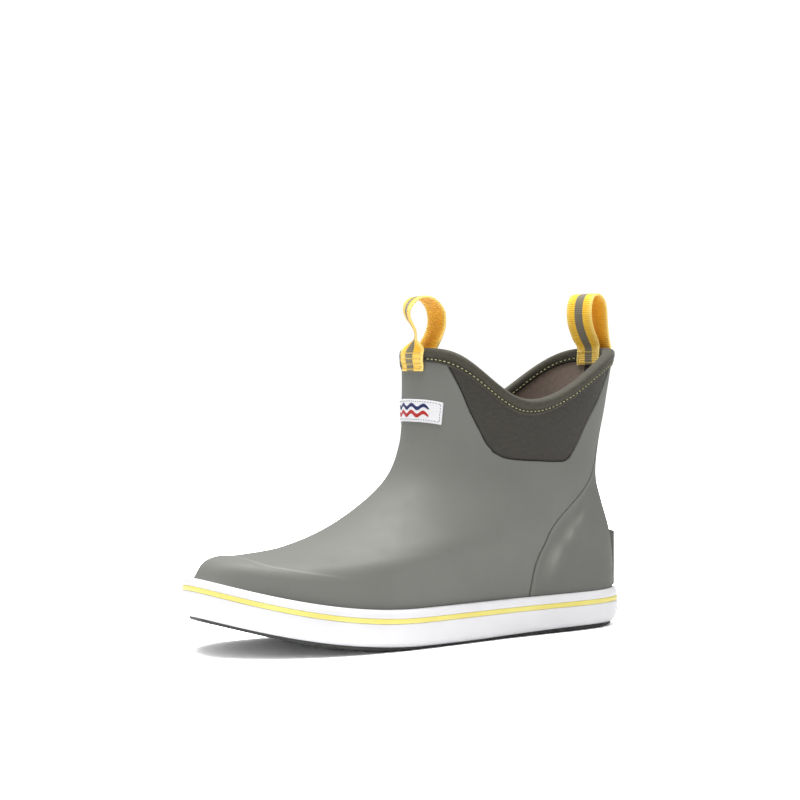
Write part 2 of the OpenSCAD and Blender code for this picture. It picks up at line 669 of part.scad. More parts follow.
// Closed loop of webbing that turns on its hinge line above the collar. Its lower bend is round about
// that line, so it stays clear of the collar at every angle.
module pull_loop(u0, h, hinge_r, r, lean, yaw) {
    color(yellow) translate(to_middle + on_flats(u0, middle_d, hinge_h))
        rotate([0, 0, -yaw]) rotate([0, lean, 0]) rotate([90, 0, 0]) difference() {
            linear_extrude(webbing_w, center = true) polygon(drop_outline(hinge_r, r, h));
            linear_extrude(webbing_w + 2, center = true)
                polygon(drop_outline(hinge_r - webbing_t, r - webbing_t, h));
        }
}

module front_pull_loop() {
    pull_loop(0, front_loop_h, front_hinge_r, front_loop_r, 0, front_loop_yaw);
}

module rear_pull_loop() {
    pull_loop(180, rear_loop_h, rear_hinge_r, rear_loop_r, rear_loop_lean, 0);
}

// Label

// Angle and height of a place on the label, across and up from its centre.
function label_u(a) = a / norm(skin(1, label_v) - skin(0, label_v));
function label_height(b) = label_v + 0.005 * b / norm(skin(0, label_v + 0.005) - skin(0, label_v));
function on_label(a, b, d) =
    let (u = label_u(a), v = label_height(b - label_bend * a * a)) skin(u, v) + d * normal(u, v);

module front_label() {
    across = [for (k = [-5 : 5]) label_w * k / 10];
    up = [for (k = [-1 : 1]) label_h * k / 2];
    color(white) translate(to_middle) sheet(
        [for (b = up) [for (a = across) on_label(a, b, label_gap + label_t)]],
        [for (b = up) [for (a = across) on_label(a, b, label_gap)]]);
}

// One wavy band across the label.
module wave(b0) {
    across = [for (k = [-12 : 12]) label_w * 0.32 * k / 12];
    d = label_gap + label_t;
    translate(to_middle) sheet(
        [for (b = [-0.9, 0.9]) [for (a = across) on_label(a, b0 + b + 1.1 * sin(a * 36), d + 0.3)]],
        [for (b = [-0.9, 0.9]) [for (a = across) on_label(a, b0 + b + 1.1 * sin(a * 36), d + 0.05)]]);
}

module label_wave_upper() {
    color("#27346e") wave(2.1);
}

module label_wave_lower() {
    color("#c23a2e") wave(-2.1);
}

module label_stitching() {
    a = label_w / 2 - 1.4;
    b = label_h / 2 - 1.4;
    d = label_gap + label_t + 0.05;
    across = [for (k = [-8 : 8]) a * k / 8];
    up = [for (k = [-2 : 2]) b * k / 2];
    lines = [
        [for (q = across) [q, -b]],
        [for (q = across) [q, b]],
        [for (q = up) [-a, q]],
        [for (q = up) [a, q]]
    ];
    color("#c9c7c2") for (line = lines)
        stitches(stitch_frames(
            [for (q = line) on_label(q[0], q[1], d)],
            [for (q = line) normal(label_u(q[0]), label_height(q[1] - label_bend * q[0] * q[0]))]));
}

outsole();
midsole();
insole_board();
foxing();
foxing_stripe();
footbed();
footbed_cover();
vamp_shell();
heel_counter();
heel_tab();
toe_puff();
heel_stiffener();
gore_outer();
gore_inner();
lining();
inner_back_tape();
collar_binding();
collar_stitching_outside();
collar_stitching_inside();
front_loop_ends();
front_loop_stitching();
front_pull_loop();
rear_loop_ends();
rear_loop_stitching();
rear_pull_loop();
front_label();
label_wave_upper();
label_wave_lower();
label_stitching();
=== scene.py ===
"""A left deck boot: rubber shell with stretch gores, bound collar, webbing pull loops and a foxed sole.

Lengths are millimetres measured from the back of the heel, as on the maker's last, and are turned into
metres in the row's frame when a mesh is made. u is the angle round the boot in degrees, 0 at the toe,
90 on the outer side, 180 at the heel; v is the share of the shell's height, 0 at the foxing, 1 at the rim.
"""

import math

import bmesh
import bpy
import numpy as np
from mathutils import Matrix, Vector, kdtree


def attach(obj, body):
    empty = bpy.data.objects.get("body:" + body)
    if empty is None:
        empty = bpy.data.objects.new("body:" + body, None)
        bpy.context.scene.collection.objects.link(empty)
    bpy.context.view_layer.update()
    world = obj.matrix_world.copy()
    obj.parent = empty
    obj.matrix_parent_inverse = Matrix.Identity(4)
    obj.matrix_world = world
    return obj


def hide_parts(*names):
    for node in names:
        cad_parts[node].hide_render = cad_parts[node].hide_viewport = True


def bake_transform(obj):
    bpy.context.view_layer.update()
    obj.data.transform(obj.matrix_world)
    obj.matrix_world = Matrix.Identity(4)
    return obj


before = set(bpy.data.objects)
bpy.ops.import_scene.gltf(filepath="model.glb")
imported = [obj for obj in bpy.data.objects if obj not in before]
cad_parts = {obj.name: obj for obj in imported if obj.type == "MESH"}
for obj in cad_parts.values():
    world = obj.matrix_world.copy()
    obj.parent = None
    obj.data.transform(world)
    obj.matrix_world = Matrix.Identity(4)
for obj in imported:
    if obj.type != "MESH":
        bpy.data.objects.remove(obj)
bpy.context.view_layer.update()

# Sizes of the boot

SOLE_L = 300
MIDDLE = np.array([SOLE_L / 2, 2.0, 0.0])  # the row's origin, under the middle of the sole
TOE_LIFT, TOE_BEND = 21, 175  # the sole curves up from TOE_BEND to TOE_LIFT at the tip
FOXING_TOP = 23.7
OUTSOLE_T = 2.8
OUTSOLE_INSET = 4.6
GROOVE_D, GROOVE_W, GROOVE_PITCH = 1.4, 2, 14
GROOVE_FIRST, GROOVE_LAST, GROOVE_MARGIN = 24, 277, 6
STRIPE_LOW, STRIPE_HIGH = 15.8, 18.8
MIDSOLE_TOP = 12
FOOTBED_TOP = 19.5
RUBBER_T = 1.8
LINING_OUT, LINING_IN = 1.95, 4.9
COLLAR_MIDDLE = -2.45  # middle of the collar's thickness, behind the shell's face
UNDER_BINDING = 2  # from the rim down to the top of the shell and the gores
BINDING_SEAM = -4.9  # height of the binding's stitch line above the rim
THREAD_D = 0.86  # that line's distance out from the shell's face
DIP_OUTER, DIP_INNER = 32, 39
DIP_V, DIP_TURN = 0.45, 0.45  # the collar's dip reaches down to this v and is lowest this far round
FOOT_V = 0.36  # below this v the shell's level lines bend down to the sole
FEATHER_Z = FOXING_TOP - 1.2
SHELL_HEIGHT = 147  # millimetres for a whole unit of v
GORE_HEIGHT = 45  # about, from the gore's lower edge up to the rim
RIB = 1.35  # from one rib of the webbing to the next

FOXING_OUTER = np.array([53, 3.3, 4.4, -3.7])
FOXING_INNER = np.array([49.3, 6.7, 11.2, -1.4])
# Level lines of the shell: v, back point x z, front point x z, half-widths outer x4 and inner x4.
LINES = np.array([
    [0, 3.5, 25.5, 295, 45.5, 47.5, 3.3, 4.2, -3.5, 44, 6.5, 10, -1.4],
    [0.1, 2.5, 44, 282.5, 56, 48, 4, 3.5, -2.6, 44, 6.5, 8, -1.4],
    [0.22, 6, 61.5, 238, 58.5, 47, 3, 3, -2, 42.5, 4, 5.5, -1],
    [0.36, 12.5, 78, 205, 68, 44.5, 0, 2, -1, 40.5, 1, 3, -0.5],
    [0.5, 18.5, 96, 169, 91.5, 42, -1.5, 2, 0, 39, -1, 2, 0],
    [0.64, 16.5, 117.5, 155, 115.5, 40.5, -1, 2.5, 0, 38.5, -0.5, 2, 0],
    [0.8, 11, 142.5, 152, 145.5, 42, 0, 3.5, 0, 40.5, 0.5, 2, 0],
    [1, 6.5, 173.5, 150.5, 173, 45.5, 1, 5, 0, 42.5, 2.5, 2.5, 0],
])
# Edges across the shell: v and u of the gore's front and rear edge and of the counter's seam.
GORE_FRONT = np.array([[0, 64], [0.35, 66], [0.6, 66], [0.645, 64], [0.678, 58.5], [0.715, 54],
                       [0.778, 46], [0.855, 38], [0.952, 27], [1, 23]])
GORE_REAR = np.array([[0, 98], [0.35, 104], [0.55, 113], [0.598, 115], [0.642, 118.5],
                      [0.742, 125], [0.81, 131.5], [0.9, 139.5], [1, 150]])
SEAM = np.array([[0, 114.2], [0.1, 114.2], [0.18, 113.4], [0.24, 113], [0.29, 114.2], [0.34, 117.2],
                 [0.39, 122], [0.425, 126.8], [0.46, 132.2], [0.5, 138.6], [0.54, 143.6], [0.6, 147.3],
                 [0.8, 156], [1, 162]])
GORE_FLOOR = 0.602
# Rise of the gore's lower edge at each u.
GORE_RISE = np.array([[0, 0.04], [60, 0.045], [64, 0.043], [72, 0.02], [90, 0], [111, -0.02],
                      [115, -0.004], [120, 0.01], [180, 0.01]])
# Ridge over the toe, u and v.
TOE_RIDGE = np.array([[-70, 0.08], [-44, 0.098], [-20, 0.131], [2, 0.138], [16, 0.125],
                      [25.5, 0.109], [37, 0.099], [50, 0.09], [70, 0.08]])
# Ridge of the counter over its stiffener's front edge, v and u.
HEEL_RIDGE = np.array([[0, 119], [0.1, 120], [0.2, 121.5], [0.3, 126.5], [0.4, 135], [1, 140]])
# Height of the foxing's lower edge above the underside at each x: low at the arch.
SOLE_EDGE = np.array([[0, 2.7], [12, 2.6], [35, 2.9], [70, 2.7], [105, 2], [135, 1.6], [170, 1.8], [210, 2.4],
                      [250, 2.3], [280, 2], [300, 1.8]])


# Curves and the shell's surface

def curve(table, t):
    """Smooth curve through the rows of a table whose first column is the parameter."""
    table = np.asarray(table, float)
    t = np.asarray(t, float)
    k = table[:, 0]
    slopes = np.empty_like(table)
    slopes[1:-1] = (table[2:] - table[:-2]) / (k[2:] - k[:-2])[:, None]
    slopes[0] = (table[1] - table[0]) / (k[1] - k[0])
    slopes[-1] = (table[-1] - table[-2]) / (k[-1] - k[-2])
    i = np.clip(np.searchsorted(k, t, side="right") - 1, 0, len(k) - 2)
    h = (k[i + 1] - k[i])[..., None]
    s = (t - k[i])[..., None] / h
    return ((2 * s**3 - 3 * s**2 + 1) * table[i] + (s**3 - 2 * s**2 + s) * h * slopes[i]
            + (3 * s**2 - 2 * s**3) * table[i + 1] + (s**3 - s**2) * h * slopes[i + 1])


def along(table, t):
    """Value in the second column of a two-column table."""
    return curve(table, t)[..., 1]


def smoothstep(t, low=0.0, high=1.0):
    s = np.clip((np.asarray(t, float) - low) / (high - low), 0, 1)
    return s * s * (3 - 2 * s)


def unit(vectors):
    return vectors / np.maximum(np.linalg.norm(vectors, axis=-1, keepdims=True), 1e-9)


def series(b, a):
    """Half-width at angle a, from the weights of four sines."""
    return sum(b[..., k] * np.sin((k + 1) * a) for k in range(4))


def toe_rise(x):
    return TOE_LIFT * (np.maximum(x - TOE_BEND, 0) / (SOLE_L - TOE_BEND)) ** 2


def dip(u):
    """How far a collar point has dropped, from 0 at the front and the back to 1 at the side."""
    turn = np.where(u > 180, 360 - u, u) / 180
    phase = np.where(turn < DIP_TURN, turn / DIP_TURN, 1 + (turn - DIP_TURN) / (1 - DIP_TURN))
    return (0.5 - 0.5 * np.cos(math.pi * phase)) ** 2


def skin(u, v):
    """Points on the outer face of the shell."""
    u, v = np.broadcast_arrays(np.asarray(u, float) % 360, np.asarray(v, float))
    line = curve(LINES, v)
    a = np.radians(u)
    outer = u <= 180
    xb, zb, xf, zf = (line[..., k] for k in range(1, 5))
    x = (xb + xf) / 2 + (xf - xb) / 2 * np.cos(a)
    y = np.where(outer, series(line[..., 5:9], a), series(line[..., 9:13], a))
    row = LINES[0]
    flat = row[2] + (row[4] - row[2]) * (x - row[1]) / (row[3] - row[1])
    foot = np.maximum(1 - v / FOOT_V, 0) ** 2 * (FEATHER_Z + toe_rise(x) - flat)
    drop = np.maximum((v - DIP_V) / (1 - DIP_V), 0) ** 1.6 * np.where(outer, DIP_OUTER, DIP_INNER) * dip(u)
    z = zb + (zf - zb) * (x - xb) / (xf - xb) + foot - drop
    return np.stack([x, y, z], -1)


def normal(u, v):
    """Outward direction of the shell's face."""
    across = skin(np.asarray(u) + 1, v) - skin(np.asarray(u) - 1, v)
    up = skin(u, np.asarray(v) + 0.01) - skin(u, np.asarray(v) - 0.01)
    return unit(np.cross(across, up))


def rate(u, v):
    """Millimetres up the shell for a whole unit of v."""
    return np.linalg.norm(skin(u, v) - skin(u, np.asarray(v) - 0.02), axis=-1) / 0.02


def rim_point(u, d, h):
    """Point near the rim, d outwards from the shell's face and h above the rim line."""
    u, d, h = np.broadcast_arrays(*(np.asarray(q, float) for q in (u, d, h)))
    v = np.where(h < 0, 1 + h / (np.linalg.norm(skin(u, 1) - skin(u, 0.95), axis=-1) / 0.05), 1)
    up = unit(skin(u, 1) - skin(u, 0.98))
    return skin(u, v) + d[..., None] * normal(u, v) + np.maximum(h, 0)[..., None] * up


def degrees_per_mm(u, v):
    return 1 / np.linalg.norm(skin(u + 1, v) - skin(u, v), axis=-1)


def drop_at_edge(distance, radius):
    """Depth of a rounded edge at a distance in from it."""
    inside = np.clip(radius - distance, 0, radius)
    return radius - np.sqrt(radius**2 - inside**2)


# The net that the shell's pieces are cut from

CLOSE_U = np.array([0.3, 0.8, 1.5, 2.6])  # extra net lines beside an edge, degrees
CLOSE_V = np.array([0.25, 0.7, 1.4, 2.4])  # the same up and down, millimetres


def spread(a, b, n, close_a, close_b):
    """Angles from a up to just before b, n even steps with extra lines close to the marked ends."""
    reach = CLOSE_U[-1]
    low = a + reach * close_a
    high = b - reach * close_b
    columns = [a]
    if close_a:
        columns += [a + c for c in CLOSE_U]
    columns += [low + (high - low) * k / n for k in range(1, n)]
    if close_b:
        columns += [b - c for c in CLOSE_U[::-1]]
    return columns


class Net:
    """Grid over the whole shell. Its columns follow the gores' edges and the counter's seam."""

    def __init__(self):
        # Rows up to the gore's lower edge, closest together at the toe's ridge, then rows up to the rim.
        low = np.concatenate([
            np.linspace(0, 0.08, 10, endpoint=False), np.linspace(0.08, 0.15, 36, endpoint=False),
            np.linspace(0.15, 0.575, 38)]) / GORE_FLOOR
        low = np.concatenate([low, 1 - CLOSE_V[::-1] / (SHELL_HEIGHT * GORE_FLOOR)])
        self.floor_row = len(low) + 1
        high = np.concatenate([[0], CLOSE_V / GORE_HEIGHT, np.linspace(0.08, 1, 26)])
        self.shares = np.concatenate([[0], low, 1 + high])
        rows = len(self.shares)
        edges = []
        for table, guess in ((GORE_FRONT, 60), (GORE_REAR, 115), (SEAM, 130)):
            angle = np.full(rows, float(guess))
            for _ in range(8):
                angle = along(table, self.height(angle))
            edges.append(angle)
        front, rear, seam = edges
        zero, back = np.zeros(rows), np.full(rows, 180.0)
        bands = [spread(zero, front, 26, 0, 1), spread(front, rear, 24, 1, 1),
                 spread(rear, seam, 4, 1, 1), spread(seam, back, 18, 1, 0)]
        self.gore_start = len(bands[0])
        self.gore_end = self.gore_start + len(bands[1])
        self.seam_col = self.gore_end + len(bands[2])
        half = np.stack([c for band in bands for c in band] + [back], 1)
        self.side_n = half.shape[1] - 1
        self.u = np.concatenate([half, 360 - half[:, -2:0:-1]], 1)
        self.n = self.u.shape[1]
        self.v = self.height(np.where(self.u > 180, 360 - self.u, self.u).T).T
        self.p = skin(self.u, self.v)
        self.normals = normal(self.u, self.v)
        # The lowest row is tucked inside the foxing.
        self.p[0, :, 2] = MIDSOLE_TOP + toe_rise(self.p[0, :, 0])
        self.normals[0] = unit(self.normals[1] * [1, 1, 0])

    def height(self, angle):
        """v at each row for angles whose last axis is the rows."""
        floor = GORE_FLOOR + along(GORE_RISE, angle)
        top = 1 - UNDER_BINDING / SHELL_HEIGHT
        s = self.shares
        return np.where(s <= 1, floor * s, floor + (top - floor) * (s - 1))

    def cells(self, test):
        """Grid of cells that pass test(row, column counted from the front on either side)."""
        rows = np.arange(len(self.shares) - 1)[:, None]
        columns = np.arange(self.n)[None, :]
        side = np.where(columns < self.side_n, columns, self.n - 1 - columns)
        return np.broadcast_to(test(rows, side), (len(rows), self.n))

    def in_gore(self, i, c):
        return (i >= self.floor_row) & (c >= self.gore_start) & (c < self.gore_end)

    def distance_to_edge(self, cells):
        """Distance in millimetres from each net point to the edge of the marked cells."""
        full = np.zeros((cells.shape[0] + 2, cells.shape[1]), bool)
        full[1:-1] = cells
        around = full.astype(int) + np.roll(full, 1, 1)
        touching = around[:-1] + around[1:]
        border = (touching > 0) & (touching < 4)
        tree_points = self.p[border]
        tree = kdtree.KDTree(len(tree_points))
        for k, q in enumerate(tree_points):
            tree.insert(q, k)
        tree.balance()
        flat = self.p.reshape(-1, 3)
        return np.array([tree.find(q)[2] for q in flat]).reshape(self.p.shape[:2])


# Meshes

def to_frame(points):
    return (np.asarray(points, float).reshape(-1, 3) - MIDDLE) / 1000


def add_object(name, data):
    obj = bpy.data.objects.new(name, data)
    bpy.context.scene.collection.objects.link(obj)
    return obj


def make_object(name, points, faces, materials, uv=None, tone=None, sharp=40):
    """Smooth-shaded object in the row's frame, from points in millimetres.

    uv is one pair a point. tone is one number a point, 1 where the material shows its second tone, a painted
    highlight or painted shade, in full.
    """
    mesh = bpy.data.meshes.new(name)
    mesh.from_pydata(to_frame(points).tolist(), [], [tuple(int(k) for k in f) for f in faces])
    for material in materials:
        mesh.materials.append(material)
    corner = np.empty(len(mesh.loops), np.int32)
    mesh.loops.foreach_get("vertex_index", corner)
    if tone is not None:
        tone = np.stack([np.ravel(tone), np.ravel(tone)], -1)
    for layer_name, values in (("cloth", uv), ("tone", tone)):
        if values is not None:
            layer = mesh.uv_layers.new(name=layer_name)
            layer.data.foreach_set("uv", np.asarray(values, float).reshape(-1, 2)[corner].ravel())
    obj = add_object(name, mesh)
    bm = bmesh.new()
    bm.from_mesh(mesh)
    loose = [v for v in bm.verts if not v.link_faces]
    bmesh.ops.delete(bm, geom=loose, context="VERTS")
    bmesh.ops.recalc_face_normals(bm, faces=bm.faces)
    bm.to_mesh(mesh)
    bm.free()
    mesh.shade_smooth()
    mesh.set_sharp_from_angle(angle=math.radians(sharp))
    return obj


def shell_faces(cells, wrap):
    """Faces of a closed shell between two sheets of the same grid, over the marked cells."""
    cells = np.asarray(cells, bool)
    rows, m = cells.shape
    n = m if wrap else m + 1
    total = (rows + 1) * n
    faces = []

    def is_on(i, j):
        if i < 0 or i >= rows or (not wrap and (j < 0 or j >= m)):
            return False
        return cells[i, j % m]

    for i in range(rows):
        for j in range(m):
            if not cells[i, j]:
                continue
            a, b = i * n + j, i * n + (j + 1) % n
            c, d = b + n, a + n
            faces.append((a, b, c, d))
            faces.append((a + total, d + total, c + total, b + total))
            for on, p, q in ((is_on(i - 1, j), a, b), (is_on(i, j + 1), b, c),
                             (is_on(i + 1, j), c, d), (is_on(i, j - 1), d, a)):
                if not on:
                    faces.append((q, p, p + total, q + total))
    return faces


def shell_piece(name, outer, inner, cells, materials, uv, wrap=False, tone=None, **more):
    """Closed solid over the marked cells of a grid, between its outer and inner sheets."""
    points = np.concatenate([outer.reshape(-1, 3), inner.reshape(-1, 3)])
    uv = np.tile(np.asarray(uv, float).reshape(-1, 2), (2, 1))
    if tone is not None:
        tone = np.tile(np.ravel(tone), 2)
    return make_object(name, points, shell_faces(cells, wrap), materials, uv, tone, **more)


def sheet_piece(name, outer, inner, materials, uv, **more):
    """Closed solid between two whole sheets."""
    cells = np.ones((outer.shape[0] - 1, outer.shape[1] - 1), bool)
    return shell_piece(name, outer, inner, cells, materials, uv, **more)


def hoop_piece(name, rings, materials, **more):
    """Closed solid swept round the boot: rings[j] is the section at step j."""
    rings = np.asarray(rings, float)
    n, m = rings.shape[:2]
    j, k = np.meshgrid(np.arange(n), np.arange(m), indexing="ij")
    following, beside = (j + 1) % n, (k + 1) % m
    faces = np.stack([j * m + k, following * m + k, following * m + beside, j * m + beside], -1)
    steps = np.linalg.norm(np.diff(rings[:, 0], axis=0, prepend=rings[:1, 0]), axis=-1).cumsum()
    heights = np.linalg.norm(np.diff(rings[0], axis=0, prepend=rings[0, :1]), axis=-1).cumsum()
    uv = np.stack(np.meshgrid(steps, heights, indexing="ij"), -1)
    return make_object(name, rings, faces.reshape(-1, 4), materials, uv, **more)


def ring_faces(rows, m):
    """Faces between each ring of m points and the next."""
    return [(i * m + j, i * m + (j + 1) % m, (i + 1) * m + (j + 1) % m, (i + 1) * m + j)
            for i in range(rows - 1) for j in range(m)]


def steps_between(low, high, near, gap, n):
    """Places from low to high: n even ones, gap in from the ends, and extra ones near the ends."""
    return np.concatenate([low + near, np.linspace(low + gap, high - gap, n), high - near[::-1]])


def stitch_points(path, normals, pitch):
    """Even places along a path: point, direction and normal of each stitch."""
    path, normals = np.asarray(path, float), np.asarray(normals, float)
    lengths = np.concatenate([[0], np.linalg.norm(np.diff(path, axis=0), axis=1).cumsum()])
    count = max(int(round(lengths[-1] / pitch)), 1)
    s = (np.arange(count) + 0.5) * lengths[-1] / count

    def at(values, where):
        return np.stack([np.interp(where, lengths, values[:, k]) for k in range(3)], 1)

    ahead, behind = at(path, s + 0.6), at(path, s - 0.6)
    return at(path, s), unit(ahead - behind), unit(at(normals, s))


def box_lines(half, low, high):
    """The sides of a rectangle, each as its two ends."""
    corners = [(-half, low), (half, low), (half, high), (-half, high), (-half, low)]
    return list(zip(corners, corners[1:]))


def line_points(ends, n):
    """Coordinates of n even places on a straight line."""
    return np.linspace(*np.array(ends, float), n).T


def stitch_piece(name, runs, material, length, width, height=0.5):
    """Thread bars with rounded ends, half sunk in the cloth. Each run is a path, its normals and a pitch."""
    around, rings = 8, 5
    polar, turn = np.meshgrid(math.pi * np.arange(1, rings) / rings, 2 * math.pi * np.arange(around) / around,
                              indexing="ij")
    radius = np.sin(polar) ** 0.55
    bar = np.stack([-np.sign(np.cos(polar)) * np.abs(np.cos(polar)) ** 0.6, radius * np.cos(turn),
                    radius * np.sin(turn)], -1)
    shape = np.concatenate([[(-1, 0, 0)], bar.reshape(-1, 3), [(1, 0, 0)]])
    last = len(shape) - 1
    faces = [(0, 1 + (t + 1) % around, 1 + t) for t in range(around)]
    faces += [tuple(1 + q for q in f) for f in ring_faces(rings - 1, around)]
    faces += [(last, last - around + t, last - around + (t + 1) % around) for t in range(around)]
    points, all_faces = [], []
    for path, normals, pitch in runs:
        places, directions, ups = stitch_points(path, normals, pitch)
        sides = np.cross(ups, directions)
        for place, direction, up, side in zip(places, directions, ups, sides):
            base = len(points) * len(shape)
            points.append(place + shape[:, :1] * direction * length / 2 + shape[:, 1:2] * side * width / 2
                          + shape[:, 2:] * up * height)
            all_faces += [tuple(base + q for q in f) for f in faces]
    return make_object(name, np.concatenate(points), all_faces, [material], sharp=180)


def finish_piece(obj, slot, *nodes, body="boot"):
    """A piece that stands for CAD nodes and rides on their body."""
    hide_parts(*nodes)
    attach(obj, body)
    return obj


# Materials

def srgb(r, g, b):
    """Linear colour from 8-bit sRGB."""
    return tuple(c / 3294.6 if c <= 10 else ((c / 255 + 0.055) / 1.055) ** 2.4 for c in (r, g, b)) + (1,)


def times(colour, factor):
    return tuple(factor * c for c in colour[:3]) + (1,)


class Paint:
    """A node material with a Principled shader, built up by its methods."""

    def __init__(self, name, roughness, specular=0.5, sheen=0.0, coat=0.0):
        self.material = bpy.data.materials.new(name)
        self.material.use_nodes = True
        self.tree = self.material.node_tree
        self.shader = self.tree.nodes["Principled BSDF"]
        self.shader.inputs["Roughness"].default_value = roughness
        self.shader.inputs["Specular IOR Level"].default_value = specular
        self.shader.inputs["Sheen Weight"].default_value = sheen
        self.shader.inputs["Sheen Roughness"].default_value = 0.45
        self.shader.inputs["Coat Weight"].default_value = coat
        self.shader.inputs["Coat Roughness"].default_value = 0.35
        self.place = self.tree.nodes.new("ShaderNodeTexCoord")
        self.heights = []

    def node(self, kind, inputs=(), **settings):
        made = self.tree.nodes.new(kind)
        for key, value in settings.items():
            setattr(made, key, value)
        for key, value in dict(inputs).items():
            if isinstance(value, bpy.types.NodeSocket):
                self.tree.links.new(value, made.inputs[key])
            else:
                made.inputs[key].default_value = value
        return made

    def math(self, operation, a, b=0.0):
        return self.node("ShaderNodeMath", {0: a, 1: b}, operation=operation).outputs[0]

    def noise(self, size_mm, detail=3.0, roughness=0.55, stretch=(1, 1, 1)):
        """Noise in object space whose lumps are about size_mm across."""
        scaled = self.node("ShaderNodeMapping", {"Vector": self.place.outputs["Object"], "Scale": stretch})
        return self.node("ShaderNodeTexNoise", {
            "Vector": scaled.outputs[0], "Scale": 1000 / size_mm, "Detail": detail,
            "Roughness": roughness}).outputs[0]

    def cloth(self, axis):
        """Coordinate of the piece's own cloth map, in millimetres."""
        uv = self.node("ShaderNodeUVMap", uv_map="cloth")
        return self.node("ShaderNodeSeparateXYZ", {0: uv.outputs[0]}).outputs[axis]

    def painted_light_map(self):
        """The piece's map of painted highlight and painted shade, 0 where it has none."""
        uv = self.node("ShaderNodeUVMap", uv_map="tone")
        return self.node("ShaderNodeSeparateXYZ", {0: uv.outputs[0]}).outputs[0]

    def stripes(self, coordinate, period):
        """Rounded stripes from 0 to 1 along a coordinate in millimetres."""
        turned = self.math("SINE", self.math("MULTIPLY", coordinate, 2 * math.pi / period))
        return self.math("ADD", self.math("MULTIPLY", turned, 0.5), 0.5)

    def mix(self, factor, a, b):
        return self.node("ShaderNodeMix", {0: factor, 6: a, 7: b}, data_type="RGBA").outputs[2]

    def ramp(self, value, low, high):
        """Value spread so that low becomes 0 and high becomes 1."""
        return self.node("ShaderNodeMapRange", {0: value, 1: low, 2: high, 3: 0.0, 4: 1.0}).outputs[0]

    def colour(self, socket):
        self.tree.links.new(socket, self.shader.inputs["Base Color"])
        return self

    def bump(self, height, depth_mm, strength=1.0):
        """Adds a layer of relief that is depth_mm deep."""
        self.heights.append((height, depth_mm, strength))
        return self

    def vary_roughness(self, value, low, high):
        spread_out = self.node("ShaderNodeMapRange", {0: value, 1: 0.3, 2: 0.7, 3: low, 4: high})
        self.tree.links.new(spread_out.outputs[0], self.shader.inputs["Roughness"])
        return self

    def done(self):
        normal_socket = None
        for height, depth, strength in self.heights:
            inputs = {"Height": height, "Distance": depth / 1000, "Strength": strength}
            if normal_socket is not None:
                inputs["Normal"] = normal_socket
            normal_socket = self.node("ShaderNodeBump", inputs).outputs[0]
        if normal_socket is not None:
            self.tree.links.new(normal_socket, self.shader.inputs["Normal"])
        return self.material


def rubber(name, light, dark, roughness=0.6):
    """Matte vulcanised rubber: faint cloudy tone, fine grain, a trace of dust and a painted highlight on
    ridges.
    """
    paint = Paint(name, roughness, specular=0.26)
    cloud = paint.ramp(paint.noise(38, 2), 0.35, 0.65)
    speck = paint.ramp(paint.noise(0.9, 2), 0.42, 0.75)
    tone = paint.mix(cloud, dark, light)
    tone = paint.mix(paint.math("MULTIPLY", speck, 0.2), tone, times(light, 1.25))
    # Painted highlight: a much paler colour wherever the piece's tone map is set.
    paint.colour(paint.mix(paint.painted_light_map(), tone, times(light, 1.75)))
    paint.vary_roughness(paint.noise(14, 3), roughness - 0.05, roughness + 0.07)
    paint.bump(paint.noise(0.55, 2), 0.03, 0.6)
    paint.bump(paint.noise(12, 2), 0.08, 0.3)
    return paint.done()


def moulded(name, light, dark, roughness, coat=0.0):
    """Smooth moulded sole rubber with a slight surface orange peel and scuffs."""
    paint = Paint(name, roughness, specular=0.45, coat=coat)
    scuff = paint.ramp(paint.noise(3, 4, 0.65, (0.35, 0.35, 1.6)), 0.58, 0.8)
    cloud = paint.ramp(paint.noise(26, 2), 0.35, 0.65)
    paint.colour(paint.mix(paint.math("MULTIPLY", scuff, 0.35), paint.mix(cloud, light, dark), dark))
    paint.vary_roughness(paint.noise(6, 3), roughness - 0.04, roughness + 0.08)
    paint.bump(paint.noise(1.6, 2), 0.03, 0.5)
    return paint.done()


def woven(name, light, dark, warp=0.9, weft=0.8, depth=0.09, sheen=0.15, roughness=0.85, painted_crease_shade=False):
    """Plain weave on the piece's own cloth map, with slubs and uneven dye, and painted shade in its creases.
    """
    paint = Paint(name, roughness, specular=0.25, sheen=sheen)
    wobble = paint.math("MULTIPLY", paint.noise(5, 2), 0.9)
    across = paint.stripes(paint.math("ADD", paint.cloth(0), wobble), warp)
    up = paint.stripes(paint.math("ADD", paint.cloth(1), wobble), weft)
    weave = paint.math("MAXIMUM", paint.math("MULTIPLY", across, paint.math("SUBTRACT", 1.0, up)),
                       paint.math("MULTIPLY", up, paint.math("SUBTRACT", 1.0, across)))
    slub = paint.ramp(paint.noise(1.6, 3, 0.6, (0.5, 0.5, 1.5)), 0.35, 0.7)
    shade = paint.math("ADD", paint.math("MULTIPLY", weave, 0.55), paint.math("MULTIPLY", slub, 0.45))
    cloth = paint.mix(shade, dark, light)
    # Painted shade: much darker where the piece's tone map marks creases.
    if painted_crease_shade:
        cloth = paint.mix(paint.painted_light_map(), cloth, times(dark, 0.3))
    paint.colour(cloth)
    paint.bump(weave, depth, 0.8)
    paint.bump(slub, depth, 0.3)
    return paint.done()


